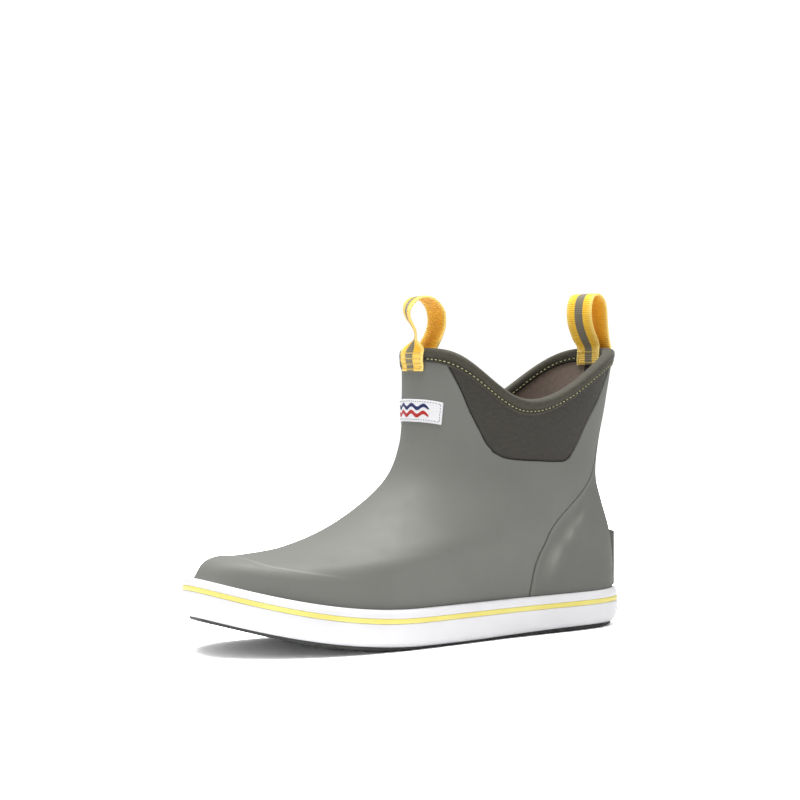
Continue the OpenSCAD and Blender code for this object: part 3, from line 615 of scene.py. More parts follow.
def webbing(name, light, dark, paled=0.45):
    """Heavy ribbed webbing: rows of weft across it, finer warp yarns along it and a paler second tone, a
    painted highlight where the piece's tone map asks for it.
    """
    paint = Paint(name, 0.72, specular=0.3, sheen=0.2)
    yarns = paint.stripes(paint.cloth(0), 1.25)
    rows = paint.stripes(paint.cloth(1), RIB)
    fuzz = paint.ramp(paint.noise(0.8, 2), 0.3, 0.7)
    shade = paint.math("ADD", paint.math("MULTIPLY", rows, 0.45), paint.math("MULTIPLY", yarns, 0.3))
    shade = paint.math("ADD", shade, paint.math("MULTIPLY", fuzz, 0.25))
    # The second tone is a pale yellow painted highlight.
    pale_highlight = tuple((1 - paled) * c + paled * w for c, w in zip(light, (0.9, 0.8, 0.42))) + (1,)
    paint.colour(paint.mix(paint.painted_light_map(), paint.mix(shade, dark, light), pale_highlight))
    return paint.bump(yarns, 0.08, 0.6).bump(fuzz, 0.03, 0.5).done()


def thread(name, light, dark):
    """Twisted sewing thread."""
    paint = Paint(name, 0.6, specular=0.35, sheen=0.2)
    ply = paint.ramp(paint.noise(0.5, 2, 0.5, (1, 1, 3)), 0.35, 0.65)
    return paint.colour(paint.mix(ply, dark, light)).bump(ply, 0.08, 0.7).done()


def foam(name, light, dark, cell=1.2):
    """Foam, board or felt that is hidden inside the boot."""
    paint = Paint(name, 0.9, specular=0.2)
    cells = paint.ramp(paint.noise(cell, 3), 0.35, 0.65)
    return paint.colour(paint.mix(cells, dark, light)).bump(cells, 0.15, 0.6).done()


def knitted(name, light, dark, wale=1.3, course=1.0):
    """Soft knitted lining with a brushed face."""
    paint = Paint(name, 0.95, specular=0.15, sheen=0.3)
    slant = paint.math("MULTIPLY", paint.stripes(paint.cloth(0), wale), 0.5)
    loops = paint.stripes(paint.math("ADD", paint.cloth(1), slant), course)
    rows = paint.math("MULTIPLY", loops, paint.stripes(paint.cloth(0), wale))
    fluff = paint.ramp(paint.noise(2.2, 4), 0.35, 0.7)
    shade = paint.math("ADD", paint.math("MULTIPLY", rows, 0.35), paint.math("MULTIPLY", fluff, 0.5))
    paint.colour(paint.mix(shade, dark, light))
    return paint.bump(rows, 0.12, 0.6).bump(fluff, 0.1, 0.4).done()


SHELL = rubber("shell_rubber", srgb(111, 112, 107), srgb(108, 109, 104))
COUNTER = rubber("counter_rubber", srgb(104, 105, 100), srgb(101, 102, 97))
FOXING = moulded("foxing_rubber", srgb(223, 223, 226), srgb(219, 218, 221), 0.38, coat=0.15)
STRIPE = moulded("stripe_rubber", srgb(229, 219, 124), srgb(224, 210, 110), 0.4, coat=0.1)
OUTSOLE = moulded("outsole_rubber", srgb(50, 52, 50), srgb(40, 41, 40), 0.55)
GORE = woven("gore_fabric", srgb(72, 69, 64), srgb(54, 52, 48), warp=1.1, weft=0.75, painted_crease_shade=True)
BINDING = woven("binding_tape", srgb(78, 76, 65), srgb(58, 56, 48), warp=0.7, weft=0.7, depth=0.07,
                painted_crease_shade=True)
LINING = knitted("lining_fabric", srgb(140, 126, 115), srgb(122, 109, 100))
TAPE = woven("tape_dark", srgb(52, 51, 48), srgb(32, 32, 30), warp=1.4, weft=0.8)
YELLOW = webbing("webbing_yellow", srgb(252, 207, 50), srgb(236, 176, 30))
GREY_BAND = webbing("webbing_grey", srgb(130, 123, 103), srgb(104, 98, 82), paled=0.06)
GREEN_THREAD = thread("thread_green", srgb(200, 197, 150), srgb(152, 149, 104))
GOLD_THREAD = thread("thread_gold", srgb(240, 212, 112), srgb(196, 158, 62))
GREY_THREAD = thread("thread_grey", srgb(128, 128, 132), srgb(96, 96, 102))
LABEL = woven("label_white", srgb(230, 230, 233), srgb(216, 216, 219), warp=0.5, weft=0.5, depth=0.03)
NAVY = woven("emblem_navy", srgb(44, 52, 104), srgb(26, 32, 76), warp=0.6, weft=0.4, depth=0.05)
RED = woven("emblem_red", srgb(190, 52, 46), srgb(150, 30, 28), warp=0.6, weft=0.4, depth=0.05)
MIDSOLE = foam("midsole_foam", srgb(206, 201, 190), srgb(190, 184, 172))
BOARD = foam("insole_board", srgb(190, 166, 132), srgb(168, 142, 108), 2.5)
FOOTBED = foam("footbed_foam", srgb(92, 95, 98), srgb(70, 72, 74))
STIFFENER = foam("stiffener_fabric", srgb(212, 205, 188), srgb(190, 182, 164), 1.8)

# Camera, floor and light

TARGET = Vector((0.0095, -0.002, 0.1433))
ROOM_LIGHT, BACKDROP = 0.42, 1.06
FLOOR_HALF, FLOOR_Z = 4.0, -0.0002
TABLE, TABLE_SEEN = (0.95, 0.95, 0.95, 1), (2.7, 2.7, 2.7, 1)


def put(obj, place, aim):
    """Places a camera or a light and turns it towards a point."""
    obj.location = place
    obj.rotation_euler = (Vector(aim) - obj.location).to_track_quat("-Z", "Y").to_euler()


def make_camera():
    data = bpy.data.cameras.new("camera")
    data.lens = 87.17
    data.sensor_width = 36
    camera = add_object("camera", data)
    put(camera, (0.6529, 0.9702, 0.1598), TARGET)
    bpy.context.scene.camera = camera


def area_light(name, place, size, power, aim=TARGET):
    data = bpy.data.lights.new(name, "AREA")
    data.shape = "RECTANGLE"
    data.size, data.size_y = size
    data.energy = power
    put(add_object(name, data), place, aim)


def make_studio():
    scene = bpy.context.scene
    scene.view_settings.view_transform = "Standard"
    world = bpy.data.worlds.new("studio")
    world.use_nodes = True
    tree = world.node_tree
    background = tree.nodes["Background"]
    background.inputs["Color"].default_value = (1, 1, 1, 1)
    # The backdrop is white, and the unlit sides of the room are dimmer.
    seen = tree.nodes.new("ShaderNodeLightPath").outputs["Is Camera Ray"]
    strength = tree.nodes.new("ShaderNodeMapRange")
    strength.inputs["To Min"].default_value = ROOM_LIGHT
    strength.inputs["To Max"].default_value = BACKDROP
    tree.links.new(seen, strength.inputs["Value"])
    tree.links.new(strength.outputs[0], background.inputs["Strength"])
    scene.world = world
    mesh = bpy.data.meshes.new("floor")
    corners = [(x * FLOOR_HALF, y * FLOOR_HALF, FLOOR_Z) for x, y in ((-1, -1), (1, -1), (1, 1), (-1, 1))]
    mesh.from_pydata(corners, [], [(0, 1, 2, 3)])
    floor = add_object("floor", mesh)
    # The table shows overexposed, so that only deep shade is seen on it.
    paint = Paint("floor_paper", 0.9, specular=0.1)
    seen = paint.node("ShaderNodeLightPath").outputs["Is Camera Ray"]
    paint.colour(paint.mix(seen, TABLE, TABLE_SEEN))
    mesh.materials.append(paint.done())
    area_light("key", (0.05, -0.08, 1.6), (1.1, 1.1), 50)
    area_light("toe", (1.2, 0.9, 0.22), (0.4, 0.3), 2.2, aim=(0.12, 0, 0.04))


make_camera()
make_studio()

# Shell, counter, gores and lining

net = Net()
cloth_map = np.stack([net.u * 0.85, net.v * SHELL_HEIGHT], -1)


def moved(depth):
    """The net's points moved out along its normals, by one depth or by one for each point."""
    return net.p + np.broadcast_to(depth, net.u.shape)[..., None] * net.normals


def net_piece(name, outer, inner, cells, material, tone=None):
    """Closed solid over the marked cells of the net, between two depths."""
    return shell_piece(name, moved(outer), moved(inner), cells, [material], cloth_map, wrap=True, tone=tone)


def toe_cap(u, v):
    """Relief and painted highlight of the toe cap: its front part is a little proud and ends in a fine ridge.
    """
    signed = np.where(u > 180, u - 360, u)
    past = (v - along(TOE_RIDGE, np.clip(signed, -70, 70))) * rate(u, np.clip(v, 0.03, None))
    fade = 1 - smoothstep(np.abs(signed), 36, 62)
    ridge = np.exp(-(past / 0.75) ** 2)
    swell = 1.2 * np.exp(-((past + 5.5) / 5.5) ** 2)
    # The second value is a painted highlight along the ridge.
    return fade * (0.2 * ridge + swell), 0.6 * fade * ridge


def heel_ridge(u, v):
    """Soft upright ridge of the counter, from 0 to 1."""
    side = np.where(u > 180, 360 - u, u)
    past = (side - along(HEEL_RIDGE, v)) * 1.7  # millimetres a degree
    fade = smoothstep(v, 0.03, 0.14) * (1 - smoothstep(v, 0.27, 0.38))
    return fade * np.exp(-(past / 2.8) ** 2)


def make_shell():
    cells = net.cells(lambda i, c: (c < net.seam_col) & ~net.in_gore(i, c))
    # The vamp's tone map is the painted highlight on the toe ridge.
    cap, painted_highlight = toe_cap(net.u, net.v)
    relief = cap - drop_at_edge(net.distance_to_edge(cells), 0.9)
    vamp = net_piece("vamp_rubber", relief, -RUBBER_T, cells, SHELL, painted_highlight)
    finish_piece(vamp, "shell_rubber", "vamp_shell")

    cells = net.cells(lambda i, c: c >= net.seam_col)
    edge = net.distance_to_edge(cells)
    ridge = heel_ridge(net.u, net.v)
    relief = 0.35 + 1.7 * ridge - drop_at_edge(edge, 1.1)
    # Painted highlight along the counter's ridge and in a thin line beside its seam.
    painted_highlight = 0.8 * ridge + 0.25 * np.exp(-((edge - 1.6) / 0.8) ** 2)
    counter = net_piece("counter_rubber", relief, -RUBBER_T, cells, COUNTER, painted_highlight)
    finish_piece(counter, "counter_rubber", "heel_counter")


def make_gores():
    outer_side = np.arange(net.n)[None, :] < net.side_n
    for name, side in (("gore_outer", outer_side), ("gore_inner", ~outer_side)):
        cells = net.cells(net.in_gore) & side
        edge = net.distance_to_edge(cells)
        depth = -1.15 + 0.6 * smoothstep(edge, 0, 2.2) + 0.2 * smoothstep(edge, 2, 12)
        # Painted shade along the gore's edges, where the rubber stands over it.
        painted_edge_shade = 0.9 * np.exp(-(edge / 0.9) ** 2)
        gore = net_piece(name + "_fabric", depth, -RUBBER_T + 0.05, cells, GORE, painted_edge_shade)
        finish_piece(gore, "gore_fabric", name)


def make_lining():
    cells = np.ones((len(net.shares) - 1, net.n), bool)
    lining = net_piece("lining_fabric", -LINING_OUT, -LINING_IN, cells, LINING)
    finish_piece(lining, "lining_fabric", "lining")
    # Tape over the back seam, ribbed lengthways.
    half = 6
    across = np.linspace(-half, half, 25)
    u, v = np.meshgrid(180 + across * degrees_per_mm(180, 0.8), np.linspace(0.5, 0.945, 60))
    ribs = 0.12 * np.cos(2 * math.pi * across / 2.4) - drop_at_edge(half - np.abs(across), 0.5) + 0 * u
    top = skin(u, v) - (LINING_IN + 0.75 + ribs)[..., None] * normal(u, v)
    low = skin(u, v) - (LINING_IN + 0.05) * normal(u, v)
    uv = np.stack(np.broadcast_arrays(across[None, :], v * SHELL_HEIGHT), -1)
    tape = sheet_piece("back_seam_tape", top, low, [TAPE], uv)
    finish_piece(tape, "tape_dark", "inner_back_tape")


def make_heel_tab():
    """Ledge at the back of the heel with an upright face and rounded edges."""
    half_span, low_v, tall_v, edge = 15, 0.008, 0.2, 0.9
    proud, least = 2.3, 1  # how far the ledge stands out at its foot and at its top
    near = np.array([0, 0.12, 0.35, 0.7, 1.2])
    a = steps_between(-half_span, half_span, near, 2, 28)
    rise = steps_between(0, tall_v, near / SHELL_HEIGHT, 0.014, 16)
    u, v = np.meshgrid(180 + a, low_v + rise)
    p = skin(u, v)
    foot = skin(u, 0)
    full = np.stack([np.minimum(foot[..., 0] - proud, p[..., 0] - least), foot[..., 1], p[..., 2]], -1)
    sides = (half_span - np.abs(a))[None, :] * 1.02  # millimetres a degree
    ends = np.minimum(rise, tall_v - rise)[:, None] * SHELL_HEIGHT
    share = (1 - drop_at_edge(np.minimum(sides, ends), edge) / edge)[..., None]
    base = p + 0.2 * normal(u, v)
    outer = base + share * (full - base)
    uv = np.stack([u, v * SHELL_HEIGHT], -1)
    tab = sheet_piece("heel_ledge", outer, p - 0.3 * normal(u, v), [COUNTER], uv)
    finish_piece(tab, "counter_rubber", "heel_tab")


# Sole

def ring_plan(points, inset):
    """Closed plan outline moved inwards."""
    step = np.roll(points, -1, 0) - np.roll(points, 1, 0)
    outward = unit(np.stack([step[:, 1], -step[:, 0]], 1))
    return points - inset * outward


SOLE_U = np.linspace(0, 360, 300, endpoint=False)


def foxing_plan(inset):
    a = np.radians(SOLE_U)
    y = np.where(SOLE_U <= 180, series(FOXING_OUTER, a), series(FOXING_INNER, a))
    return ring_plan(np.stack([SOLE_L / 2 * (1 + np.cos(a)), y], 1), inset)


def shell_plan(inset):
    return ring_plan(skin(SOLE_U, 0)[:, :2], inset)


def lifted(plan, height):
    return np.concatenate([plan, (height + toe_rise(plan[:, 0]))[:, None]], 1)


def make_foxing():
    low, high = STRIPE_LOW, STRIPE_HIGH
    # Inset and height of each row of points. The foot's heights count from the sole's edge.
    foot = [(4.4, 0), (3.9, 0), (3.3, 0.25), (2.5, 1), (1.6, 2.4)]
    wall = [
        (0.9, 6.9), (0.35, 9), (0.05, 11.4), (0, 13.2), (0.12, 14.7), (0.25, low - 0.4), (0.4, low - 0.1),
        (0.8, low + 0.03), (1.3, low + 0.06), (1.4, low + 0.2), (1.4, high - 0.2), (1.3, high - 0.06),
        (0.95, high - 0.03), (0.65, high + 0.1), (0.6, high + 0.5), (0.7, 20.6), (0.9, 21.8), (1.3, 22.8),
        (1.9, 23.45), (2.6, 23.7), (3.4, 23.72)]
    rings = []
    for inset, height in foot:
        plan = foxing_plan(inset)
        rings.append(lifted(plan, height + along(SOLE_EDGE, plan[:, 0])))
    rings += [lifted(foxing_plan(inset), height) for inset, height in wall]
    rings += [lifted(shell_plan(-0.1), height) for height in (FOXING_TOP - 0.1, OUTSOLE_T + 0.1)]
    band = hoop_piece("foxing_band", np.stack(rings, 1), [FOXING], sharp=50)
    finish_piece(band, "foxing_rubber", "foxing")
    section = [(1.3, 0.1), (0.55, 0.12), (0.35, 0.35), (0.25, 0.9), (0.22, 1.5), (0.28, 2.1), (0.42, 2.6),
               (0.6, 2.86), (1.3, 2.9)]
    rings = [lifted(foxing_plan(inset), low + height) for inset, height in section]
    stripe = hoop_piece("foxing_stripe_band", np.stack(rings, 1), [STRIPE], sharp=60)
    finish_piece(stripe, "stripe_rubber", "foxing_stripe")


def end_rise(x):
    """Rise of the outsole's underside towards its two ends."""
    heel, toe = np.maximum(34 - x, 0) / 34, np.maximum(x - 235, 0) / 62
    return 2.3 * heel**2 + 0.5 * toe**2


def make_outsole():
    """Thin rubber sole with a rounded edge, cut by zigzag grooves across."""
    top, edge = OUTSOLE_T + 0.04, 0.7
    round_edge = [(edge * (1 - math.cos(a)), edge * (1 - math.sin(a))) for a in (0.5, 1.0, 1.57)]
    # Share of the way to the middle line, inset and height of each row of points.
    rows = [(1, 0, top), (0.5, 0, top), (0, 0, top), (0, 0, edge)] + [(0, d, h) for d, h in round_edge]
    rows += [(0.5, 1, 0), (1, 1, 0)]
    spine = np.stack([SOLE_L / 2 + 140 * np.cos(np.radians(SOLE_U)), 0 * SOLE_U], 1)
    rings = []
    for share, inset, height in rows:
        plan = foxing_plan(OUTSOLE_INSET + inset)
        plan = plan + share * (spine - plan)
        ring = lifted(plan, height)
        ring[:, 2] += end_rise(ring[:, 0]) * (1 - height / top)
        rings.append(ring)
    sole = make_object("tread_sole", np.stack(rings), ring_faces(len(rings), len(SOLE_U)), [OUTSOLE])
    weld(sole)
    cut_grooves(sole)
    finish_piece(sole, "outsole_rubber", "outsole")


def cut_grooves(sole):
    """Cuts the tread's zigzag grooves, which stop short of the sole's edge."""
    reach, turns, zig = 60, 10, 6
    outline = foxing_plan(OUTSOLE_INSET + GROOVE_MARGIN)
    points, faces = [], []
    y = np.linspace(-reach, reach, turns * 12 + 1)
    for x0 in np.arange(GROOVE_FIRST, GROOVE_LAST, GROOVE_PITCH):
        middle = x0 + zig * np.abs((y + reach) * turns / (2 * reach) % 2 - 1)
        keep = inside_plan(np.stack([middle, y], 1), outline)
        if keep.sum() < 3:
            continue
        base = len(points)
        for x, across in zip(middle[keep], y[keep]):
            roof = GROOVE_D + toe_rise(x) + end_rise(x)
            foot, top = GROOVE_W / 2 * 1.15, GROOVE_W / 2 * 0.8
            points += [(x - foot, across, roof - GROOVE_D - 2), (x - top, across, roof),
                       (x + top, across, roof), (x + foot, across, roof - GROOVE_D - 2)]
        faces += [tuple(base + q for q in f) for f in ring_faces(int(keep.sum()), 4)]
        faces += [tuple(range(base, base + 4)), tuple(range(len(points) - 4, len(points)))]
    cutter = make_object("groove_cutter", points, faces, [OUTSOLE])
    cut = sole.modifiers.new("grooves", "BOOLEAN")
    cut.operation = "DIFFERENCE"
    cut.solver = "EXACT"
    cut.object = cutter
    apply_modifiers(sole)
    bpy.data.objects.remove(cutter)


def apply_modifiers(obj):
    """Bakes an object's modifiers into its mesh."""
    depsgraph = bpy.context.evaluated_depsgraph_get()
    mesh = bpy.data.meshes.new_from_object(obj.evaluated_get(depsgraph))
    obj.modifiers.clear()
    obj.data = mesh
    mesh.set_sharp_from_angle(angle=math.radians(35))


def inside_plan(points, outline):
    """True for each plan point that lies inside a closed outline."""
    x, y = points[:, 0][:, None], points[:, 1][:, None]
    x0, y0 = outline[:, 0][None], outline[:, 1][None]
    x1, y1 = np.roll(x0, -1, 1), np.roll(y0, -1, 1)
    crosses = (y0 > y) != (y1 > y)
    at = x0 + (y - y0) * (x1 - x0) / np.where(crosses, y1 - y0, 1)
    return (crosses & (x < at)).sum(1) % 2 == 1


def weld(obj):
    """Joins points that lie on each other."""
    bm = bmesh.new()
    bm.from_mesh(obj.data)
    bmesh.ops.remove_doubles(bm, verts=bm.verts, dist=2e-5)
    bmesh.ops.recalc_face_normals(bm, faces=bm.faces)
    bm.to_mesh(obj.data)
    bm.free()


def make_footbed():
    """Fabric-topped foam footbed, cupped at the heel and along its edge."""
    rim = shell_plan(6.3)
    centre = np.stack([np.clip(rim[:, 0], 45, SOLE_L - 45), 0 * rim[:, 1]], 1)
    shares = np.concatenate([[1, 0.995, 0.98, 0.95], np.linspace(0.9, 0, 14)])
    rows = []
    for s in shares:
        plan = centre + (rim - centre) * s
        cup = 1.6 * smoothstep(s, 0.6, 1) * smoothstep(-plan[:, 0], -140, -60)
        edge = 0.5 * float(drop_at_edge(np.array((1 - s) * 40), 1.0))
        dome = 0.5 * math.cos(math.pi / 2 * s)
        rows.append(lifted(plan, FOOTBED_TOP - 0.6 + cup + dome - edge))
    low = [lifted(centre + (rim - centre) * s, FOOTBED_TOP - 1.2) for s in shares[::-1]]
    rings = np.stack(low + rows, 0)
    cover = make_object("footbed_top", rings, ring_faces(*rings.shape[:2]), [LINING], rings[..., :2])
    weld(cover)
    finish_piece(cover, "lining_fabric", "footbed_cover")


# Collar

COLLAR_U = np.linspace(0, 360, 420, endpoint=False)


def make_binding():
    """Tape folded over the rim: bulging legs, a pinched stitch line and a rounded crown."""
    deep = -2 * COLLAR_MIDDLE
    seam = 4
    leg = [(0.12, -7), (0.7, -7.08), (1.0, -6.75), (1.02, -5.7), (0.74, BINDING_SEAM), (1.04, -4.1),
           (1.25, -2.8), (1.28, -1.4), (1.12, -0.1), (0.75, 0.8), (0.1, 1.35), (-0.9, 1.65)]
    section = leg + [(COLLAR_MIDDLE, 1.75)] + [(-deep - d, h) for d, h in leg[::-1]]
    section += [(-deep - 0.12, 0), (-deep, 0.35), (0, 0.35), (0.12, 0)]
    d, h = np.array(section).T
    rings = rim_point(COLLAR_U[:, None], d[None, :], h[None, :])
    # Painted shade: the tape is darker along its two seams and under its inner edge.
    painted_shade = np.zeros(len(section))
    last = 2 * len(leg)
    painted_shade[[seam, last - seam, last, last - 1, last - 2, last - 3]] = 1
    painted_shade[[seam - 1, seam + 1, last - seam + 1]] = 0.4
    binding = hoop_piece("collar_binding_tape", rings, [BINDING], sharp=60,
                         tone=np.broadcast_to(painted_shade, rings.shape[:2]))
    finish_piece(binding, "binding_tape", "collar_binding")


def make_collar_stitching():
    """The collar's seam on both faces, each in two runs that stop at the pull loops."""
    clear, pitch = 14, 2.9
    front, back = clear * degrees_per_mm(0, 1), clear * degrees_per_mm(180, 1)
    for side, d, facing in (("outside", THREAD_D, 1), ("inside", 2 * COLLAR_MIDDLE - THREAD_D, -1)):
        runs = []
        for start, end in ((front, 180 - back), (180 + back, 360 - front)):
            u = np.linspace(start, end, 160)
            runs.append((rim_point(u, d, BINDING_SEAM), facing * normal(u, 0.96), pitch))
        seam = stitch_piece("collar_thread_" + side, runs, GREEN_THREAD, length=1.7, width=0.6)
        finish_piece(seam, "thread_green", "collar_stitching_" + side)


# Pull loops. A route is a list of points (distance out from the collar's middle, height above the rim,
# turn about the vertical in degrees), from the outer sewn end over the top to the inner one.

WEBBING_W, WEBBING_T = 25, 1.5
BAND_HALF = 4
FRONT_ROUTE = [
    (3.4, -12.5, 0), (3.4, -9.4, 0), (4.2, -6.8, 0), (4.55, -4, 0), (4.4, -1.2, 5), (3, 2, 20),
    (1, 5.5, 30), (0.1, 8.8, 33), (0.7, 12.5, 33), (3.1, 16.4, 32), (5.7, 20.3, 29), (6.5, 24.3, 25),
    (4.9, 28.3, 20), (1.5, 31.3, 17), (-3, 32.5, 15), (-8.2, 31.3, 13), (-12.4, 27.9, 11), (-14.9, 23.3, 9),
    (-15.4, 18.4, 9), (-14.6, 13.6, 8), (-12.6, 9, 7), (-9.8, 4.8, 5), (-7.1, 1.4, 3), (-5.4, -1.4, 1),
    (-4.6, -4, 0), (-4.25, -6.8, 0), (-3.4, -9.4, 0), (-3.4, -12.5, 0)]
REAR_ROUTE = [
    (3.45, -9.6, 0), (4.2, -6.8, 0), (4.55, -4, 0), (4.1, -1.4, 0), (2.8, 2.4, 0), (1.6, 7.5, 0),
    (0.7, 14, 0), (0.1, 20.5, 0), (-0.3, 26, 0), (-1.5, 31, 0), (-4.2, 34.6, 0), (-7.4, 35.8, 0),
    (-10.3, 34.5, 0), (-12.2, 30.7, 0), (-13, 25.6, 0), (-12.8, 20.7, 0), (-11.8, 15.9, 0), (-9.9, 11.2, 0),
    (-7.6, 6.6, 0), (-5.7, 2.4, 0), (-4.9, -1.2, 0), (-4.6, -4, 0), (-4.25, -6.8, 0), (-3.45, -9.6, 0)]


def loop_surface(u0, route, at, across):
    """Middle surface of a pull loop's webbing at places along its route and distances across it.

    The sewn ends follow the collar's curve and the loop above stands free.
    """
    p, h, yaw = (curve(np.column_stack([np.arange(len(route)), np.array(route)]), at)[..., k][:, None]
                 for k in (1, 2, 3))
    side = across[None, :]
    out = np.array([math.cos(math.radians(u0)), 0, 0])
    left = 1 if u0 == 0 else -1
    on_collar = rim_point(u0 + left * side * degrees_per_mm(u0, 1), COLLAR_MIDDLE + p, h)
    root = rim_point(u0, COLLAR_MIDDLE, 0.0)
    turn = np.radians(yaw)
    width = np.stack([np.sin(turn), np.cos(turn), 0 * turn], -1)
    free = root + p[..., None] * out + h[..., None] * np.array([0, 0, 1]) + side[..., None] * width
    weight = smoothstep(h, -1, 7.5)[..., None]
    return (1 - weight) * on_collar + weight * free


def grid_normals(points):
    """Direction square to a grid of points."""
    along_path = np.gradient(points, axis=0)
    across_path = np.gradient(points, axis=1)
    return unit(np.cross(along_path, across_path))


def make_loop(name, u0, route):
    """One length of ribbed webbing with a grey band woven into its outer face.

    It has a painted highlight along its selvages, is paler at its sewn ends, and bends at the joint.
    """
    count = len(route) - 1
    coarse = np.linspace(0, count, 400)
    middle = loop_surface(u0, route, coarse, np.array([0.0]))[:, 0]
    lengths = np.concatenate([[0], np.linalg.norm(np.diff(middle, axis=0), axis=1).cumsum()])
    steps = int(round(lengths[-1] / RIB)) * 5
    s = np.linspace(0, lengths[-1], steps + 1)
    at = np.interp(s, lengths, coarse)
    half = WEBBING_W / 2
    sides = np.array([0, 0.1, 0.35, 0.75, 1.5, 3, 5, 7.2, half - BAND_HALF])
    across = np.concatenate([-half + sides, np.linspace(-BAND_HALF, BAND_HALF, 7)[1:-1], half - sides[::-1]])
    surface = loop_surface(u0, route, at, across)
    up = grid_normals(surface)
    if u0 != 0:
        up = -up
    edge = drop_at_edge(half - np.abs(across), 0.7)
    ribs = 0.13 * np.cos(2 * math.pi * s / RIB)[:, None] * (1 - edge / 0.7)[None, :]
    ends = np.minimum(s, lengths[-1] - s)
    thick = WEBBING_T / 2 - 0.13 + ribs - edge[None, :] * 0.9 - drop_at_edge(ends, 0.6)[:, None]
    thick = np.maximum(thick, 0.03)
    outer = surface + thick[..., None] * up
    inner = surface - thick[..., None] * up
    facing = np.sum((outer - inner)[len(s) // 10] * np.array([math.cos(math.radians(u0)), 0, 0]), -1).mean()
    if facing < 0:
        outer, inner = inner, outer
    uv = np.stack(np.broadcast_arrays(across[None, :], s[:, None]), -1)
    # Painted highlight along the selvages; the sewn ends are paler.
    selvage_highlight = np.exp(-((half - np.abs(across)) / 2.4) ** 2)[None, :]
    sewn = 1 - smoothstep(ends, 9, 13)[:, None]
    loop = sheet_piece(name + "_webbing", outer, inner, [YELLOW, GREY_BAND], uv, sharp=70,
                       tone=np.clip(0.8 * selvage_highlight + 0.5 * sewn, 0, 1))
    paint_band(loop, outer, across)
    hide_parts(name + "_pull_loop", name + "_loop_ends")
    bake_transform(loop)


def paint_band(loop, outer, across):
    """Gives the grey band's material to the outer face's middle columns."""
    rows, columns = outer.shape[:2]
    mesh = loop.data
    centres = (across[:-1] + across[1:]) / 2
    banded = np.abs(centres) < BAND_HALF
    total = rows * columns
    for polygon in mesh.polygons:
        corners = list(polygon.vertices)
        if max(corners) < total and banded[min(c % columns for c in corners)]:
            polygon.material_index = 1


def sew_loop(name, u0, side, route, rows):
    """Sewn box, with rows of seams across it, on the end of a loop that faces out or in."""
    sunk, from_side, from_end, top = 0.02, 1.9, 1.2, -1.6
    half, low = WEBBING_W / 2 - from_side, route[0][1] + from_end
    heights = [low + (top - low) * k / (rows + 1) for k in range(1, rows + 1)]
    left = 1 if u0 == 0 else -1
    runs = []
    for line in box_lines(half, low, top) + [((-half, h), (half, h)) for h in heights]:
        a, h = line_points(line, 20)
        p = np.interp(h, [q[1] for q in route[:5]], [abs(q[0]) for q in route[:5]]) + WEBBING_T / 2 - sunk
        u = u0 + left * a * degrees_per_mm(u0, 1)
        runs.append((rim_point(u, COLLAR_MIDDLE + side * p, h), side * normal(u, 0.95), 2.2))
    sewn = stitch_piece(name + "_loop_thread", runs, GOLD_THREAD, length=1.7, width=0.75, height=0.45)
    finish_piece(sewn, "thread_gold", name + "_loop_stitching")


def make_loops():
    make_loop("front", 0, FRONT_ROUTE)
    make_loop("rear", 180, REAR_ROUTE)
    sew_loop("front", 0, 1, FRONT_ROUTE, 2)
    sew_loop("rear", 180, -1, REAR_ROUTE[::-1], 0)


# Label

LABEL_V, LABEL_W, LABEL_H = 0.7535, 50, 14
LABEL_BEND = 0.0015


def label_place(a, b):
    """u and v of a place a across and b up from the label's centre."""
    return a * degrees_per_mm(0, LABEL_V), LABEL_V + (b - LABEL_BEND * a**2) / rate(0, LABEL_V)


def on_label(a, b, d):
    u, v = label_place(a, b)
    return skin(u, v) + np.asarray(d)[..., None] * normal(u, v)


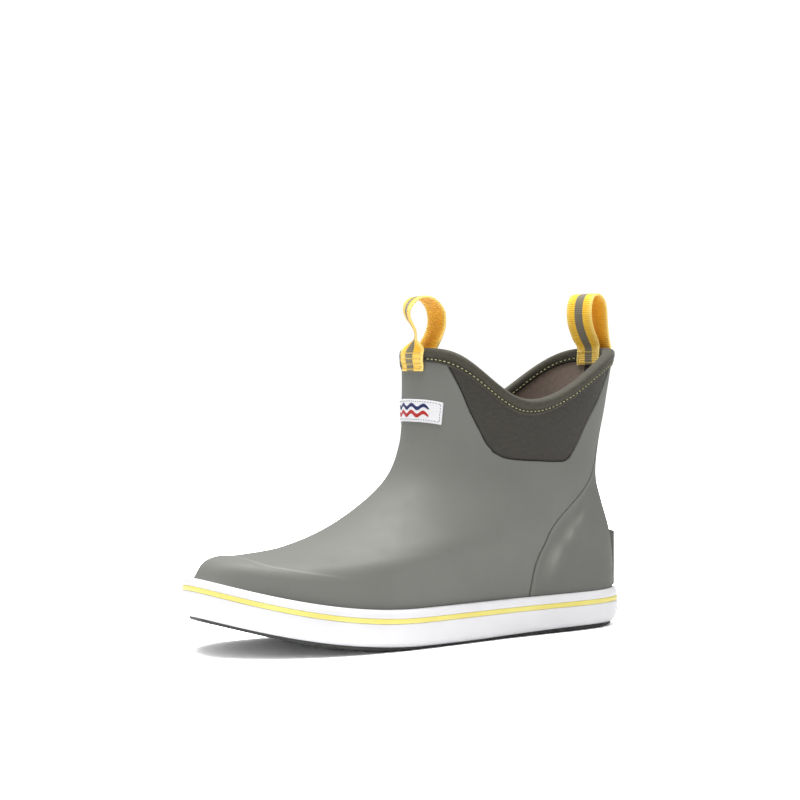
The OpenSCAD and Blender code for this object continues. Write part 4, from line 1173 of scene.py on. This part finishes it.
def make_label():
    near = np.array([0, 0.08, 0.25, 0.5, 0.9])
    half_w, half_h = LABEL_W / 2, LABEL_H / 2
    a, b = np.meshgrid(steps_between(-half_w, half_w, near, 1.5, 44),
                       steps_between(-half_h, half_h, near, 1.5, 12))
    corner = 0.6
    over_a = np.maximum(np.abs(a) - (half_w - corner), 0)
    over_b = np.maximum(np.abs(b) - (half_h - corner), 0)
    pull = np.where((over_a > 0) & (over_b > 0),
                    np.maximum(over_a, over_b) / np.maximum(np.hypot(over_a, over_b), 1e-6), 1)
    a = np.sign(a) * (np.minimum(np.abs(a), half_w - corner) + over_a * pull)
    b = np.sign(b) * (np.minimum(np.abs(b), half_h - corner) + over_b * pull)
    reach = np.minimum(half_w - np.abs(a), half_h - np.abs(b))
    rim = 0.12 * np.exp(-((reach - 0.9) / 0.5) ** 2)
    top = on_label(a, b, 0.85 + rim - drop_at_edge(reach, 0.4))
    low = on_label(a, b, 0.05 + 0 * a)
    label = sheet_piece("front_label_patch", top, low, [LABEL], np.stack([a, b], -1))
    finish_piece(label, "label_white", "front_label")
    for name, node, b0, paint, slot in (("emblem_upper", "label_wave_upper", 2.2, NAVY, "emblem_navy"),
                                        ("emblem_lower", "label_wave_lower", -2.2, RED, "emblem_red")):
        reach, broad = 16.4, 1.2
        a, r = np.meshgrid(np.linspace(-reach, reach, 100), [-broad, -1.1, -0.8, 0, 0.8, 1.1, broad])
        taper = np.sqrt(np.clip(1 - (np.abs(a) / (reach + 0.2)) ** 8, 0.02, 1))
        b = b0 + r * taper + 1.1 * np.sin(np.radians(a * 36))
        lift = 1.15 - 0.25 * (np.abs(r) / broad) ** 4
        wave = sheet_piece(name, on_label(a, b, lift), on_label(a, b, 0.7 + 0 * a), [paint],
                           np.stack([a, b], -1))
        finish_piece(wave, slot, node)
    inset = 1.4
    runs = []
    for line in box_lines(half_w - inset, inset - half_h, half_h - inset):
        a, b = line_points(line, 40)
        runs.append((on_label(a, b, 0.87 + 0 * a), normal(*label_place(a, b)), 1.9))
    border = stitch_piece("label_thread", runs, GREY_THREAD, length=1.15, width=0.5, height=0.22)
    finish_piece(border, "thread_grey", "label_stitching")


# The boot

make_shell()
make_gores()
make_lining()
make_heel_tab()
make_foxing()
make_outsole()
make_footbed()
make_binding()
make_collar_stitching()
make_loops()
make_label()
# These nodes are out of sight and keep their CAD shape.
for node, material in (("midsole", MIDSOLE), ("insole_board", BOARD),
                       ("footbed", FOOTBED), ("toe_puff", STIFFENER), ("heel_stiffener", STIFFENER)):
    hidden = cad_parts[node].data
    hidden.materials.clear()
    hidden.materials.append(material)
    hidden.shade_flat()
